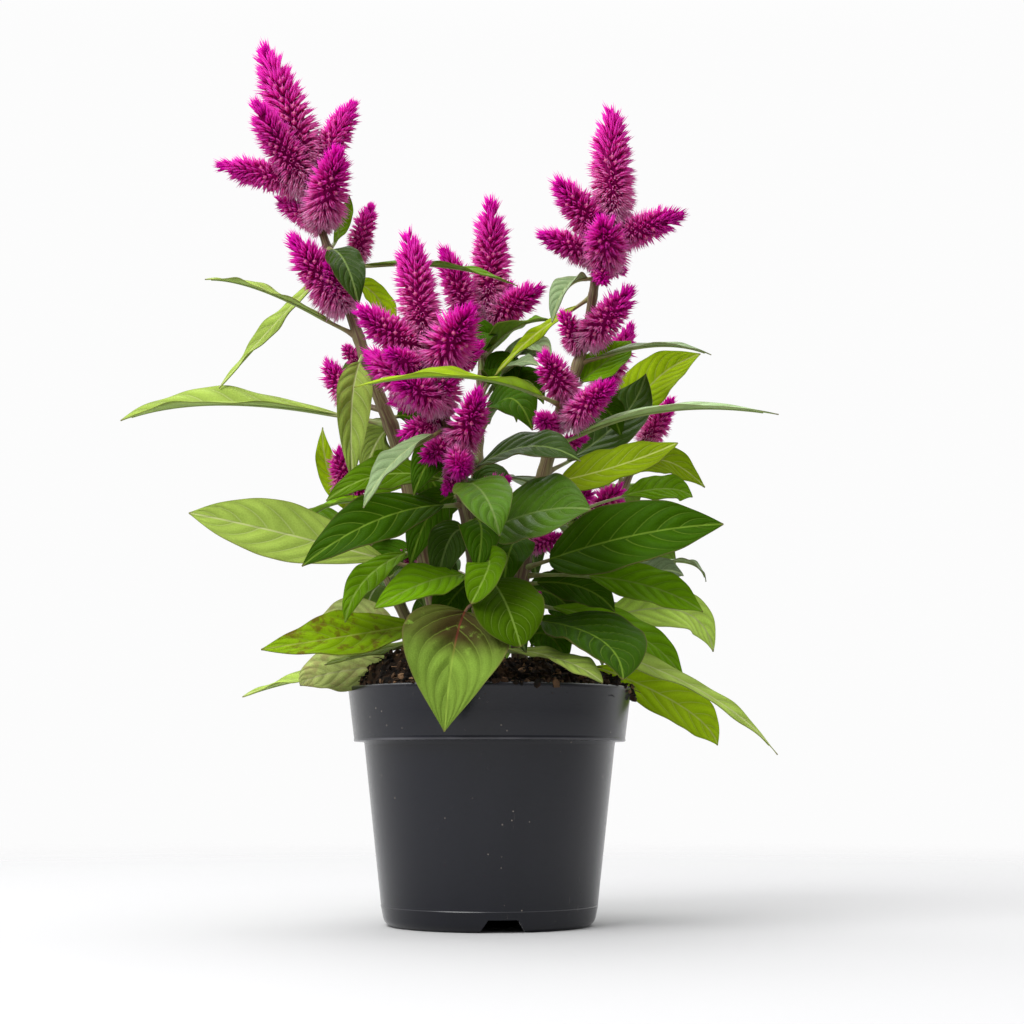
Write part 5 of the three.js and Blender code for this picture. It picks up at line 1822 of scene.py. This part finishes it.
@dataclass(frozen=True)
class Studio:
    """A pale floor, soft lights and the camera that took the photo."""

    lens: float = 68.55
    eye: Point = (0.0, -0.9, 0.0695)
    pitch: float = 7.54
    yaw: float = 0.65
    paper: Colour = (0.425, 0.425, 0.43)
    floor_reach: float = 2.0

    def build(self) -> None:
        """Builds the stage, the lights and the camera."""
        self.floor()
        self.world()
        self.light("key light", (-0.85, -0.95, 1.35), 1.05, 34.0)
        self.light("top light", (-0.3, 0.6, 1.5), 0.8, 10.0)
        self.camera()

    def floor(self) -> None:
        """Lays the pale floor, which fades out into the white surroundings."""
        far = self.floor_reach
        floor = loose_mesh("floor", [(-far, -far, 0), (far, -far, 0), (far, far, 0), (-far, far, 0)],
                           faces=[(0, 1, 2, 3)])
        g = Skin("pale paper")
        g.paint(self.paper, 0.8, 0.1)
        away = g.node("ShaderNodeVectorMath", {0: g.place()}, operation="LENGTH").outputs["Value"]
        g.feed(g.shader.inputs["Alpha"], g.step(away, 0.3, 1.1, 1, 0))
        floor.data.materials.append(g.material)
        floor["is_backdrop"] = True

    @staticmethod
    def world() -> None:
        """Sets surroundings that are white behind the plant and dimmer on the camera's side."""
        world = bpy.data.worlds.new("surroundings")
        world.use_nodes = True
        g = Graph(world.node_tree)
        background = world.node_tree.nodes["Background"]
        way = g.split(g.node("ShaderNodeTexCoord").outputs["Generated"])
        around = g.step(g.line(way[0], -0.25, way[1]), -0.5, 0.25, 0.35, 0.975)
        background.inputs["Color"].default_value = (1, 1, 1, 1)
        g.feed(background.inputs["Strength"], g.plus(around, g.step(way[2], 0.35, 0.85, 0, 1.05)))
        bpy.context.scene.world = world
        bpy.context.scene.view_settings.view_transform = "Standard"
        bpy.context.scene.view_settings.look = "None"

    @staticmethod
    def light(name: str, place: Point, size: float, power: float) -> None:
        """Adds a square area light that faces the plant.

        Args:
            name: its name.
            place: where it hangs.
            size: its width.
            power: its strength in watts.
        """
        data = bpy.data.lights.new(name, "AREA")
        data.size = size
        data.energy = power
        made = linked(bpy.data.objects.new(name, data))
        made.location = place
        made.rotation_euler = (Vector((0, 0, 0.2)) - Vector(place)).to_track_quat("-Z", "Y").to_euler()

    def camera(self) -> None:
        """Adds the camera at the photo's viewpoint."""
        data = bpy.data.cameras.new("camera")
        data.lens = self.lens
        data.sensor_width = 36
        data.clip_start = 0.05
        made = linked(bpy.data.objects.new("camera", data))
        made.location = self.eye
        made.rotation_euler = (math.radians(90 + self.pitch), 0, math.radians(-self.yaw))
        bpy.context.scene.camera = made


class PottedCelosia:
    """The whole plant in its pot, piece by piece."""

    def build(self) -> None:
        """Builds every piece of the object."""
        NurseryPot().build(PotFinish().material("charcoal plastic"))
        log.info("pot done")
        PottingSoil().build(PeatFinish().material("peat"))
        log.info("soil done")
        finishes = {look.value: finish.material(look.name.lower() + " leaf")
                    for look, finish in LEAF_FINISHES.items()}
        finishes[STEM_SLOT] = StemFinish().material("ribbed bark")
        finishes[RIB_SLOT] = RibFinish().material("pale rib")
        for stem in LEAFY_STEMS:
            stem.build(finishes)
        log.info("%d leafy stems done", len(LEAFY_STEMS))
        blossom = BlossomFinish().material("blossom")
        shapes = FloretShapes.all()
        tree = SpikeTree().build()
        for seed, head in enumerate(FLOWER_HEADS, 1):
            head.build(tree, shapes, blossom, seed)
        remove(shapes.values())
        log.info("%d flower heads done", len(FLOWER_HEADS))
        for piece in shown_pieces():
            log.info("%s: %d faces", piece.name, len(piece.data.polygons))


def main() -> None:
    """Builds the plant, then the studio."""
    logging.basicConfig(level=logging.INFO)
    PottedCelosia().build()
    Studio().build()


if __name__ == "__main__":
    main()
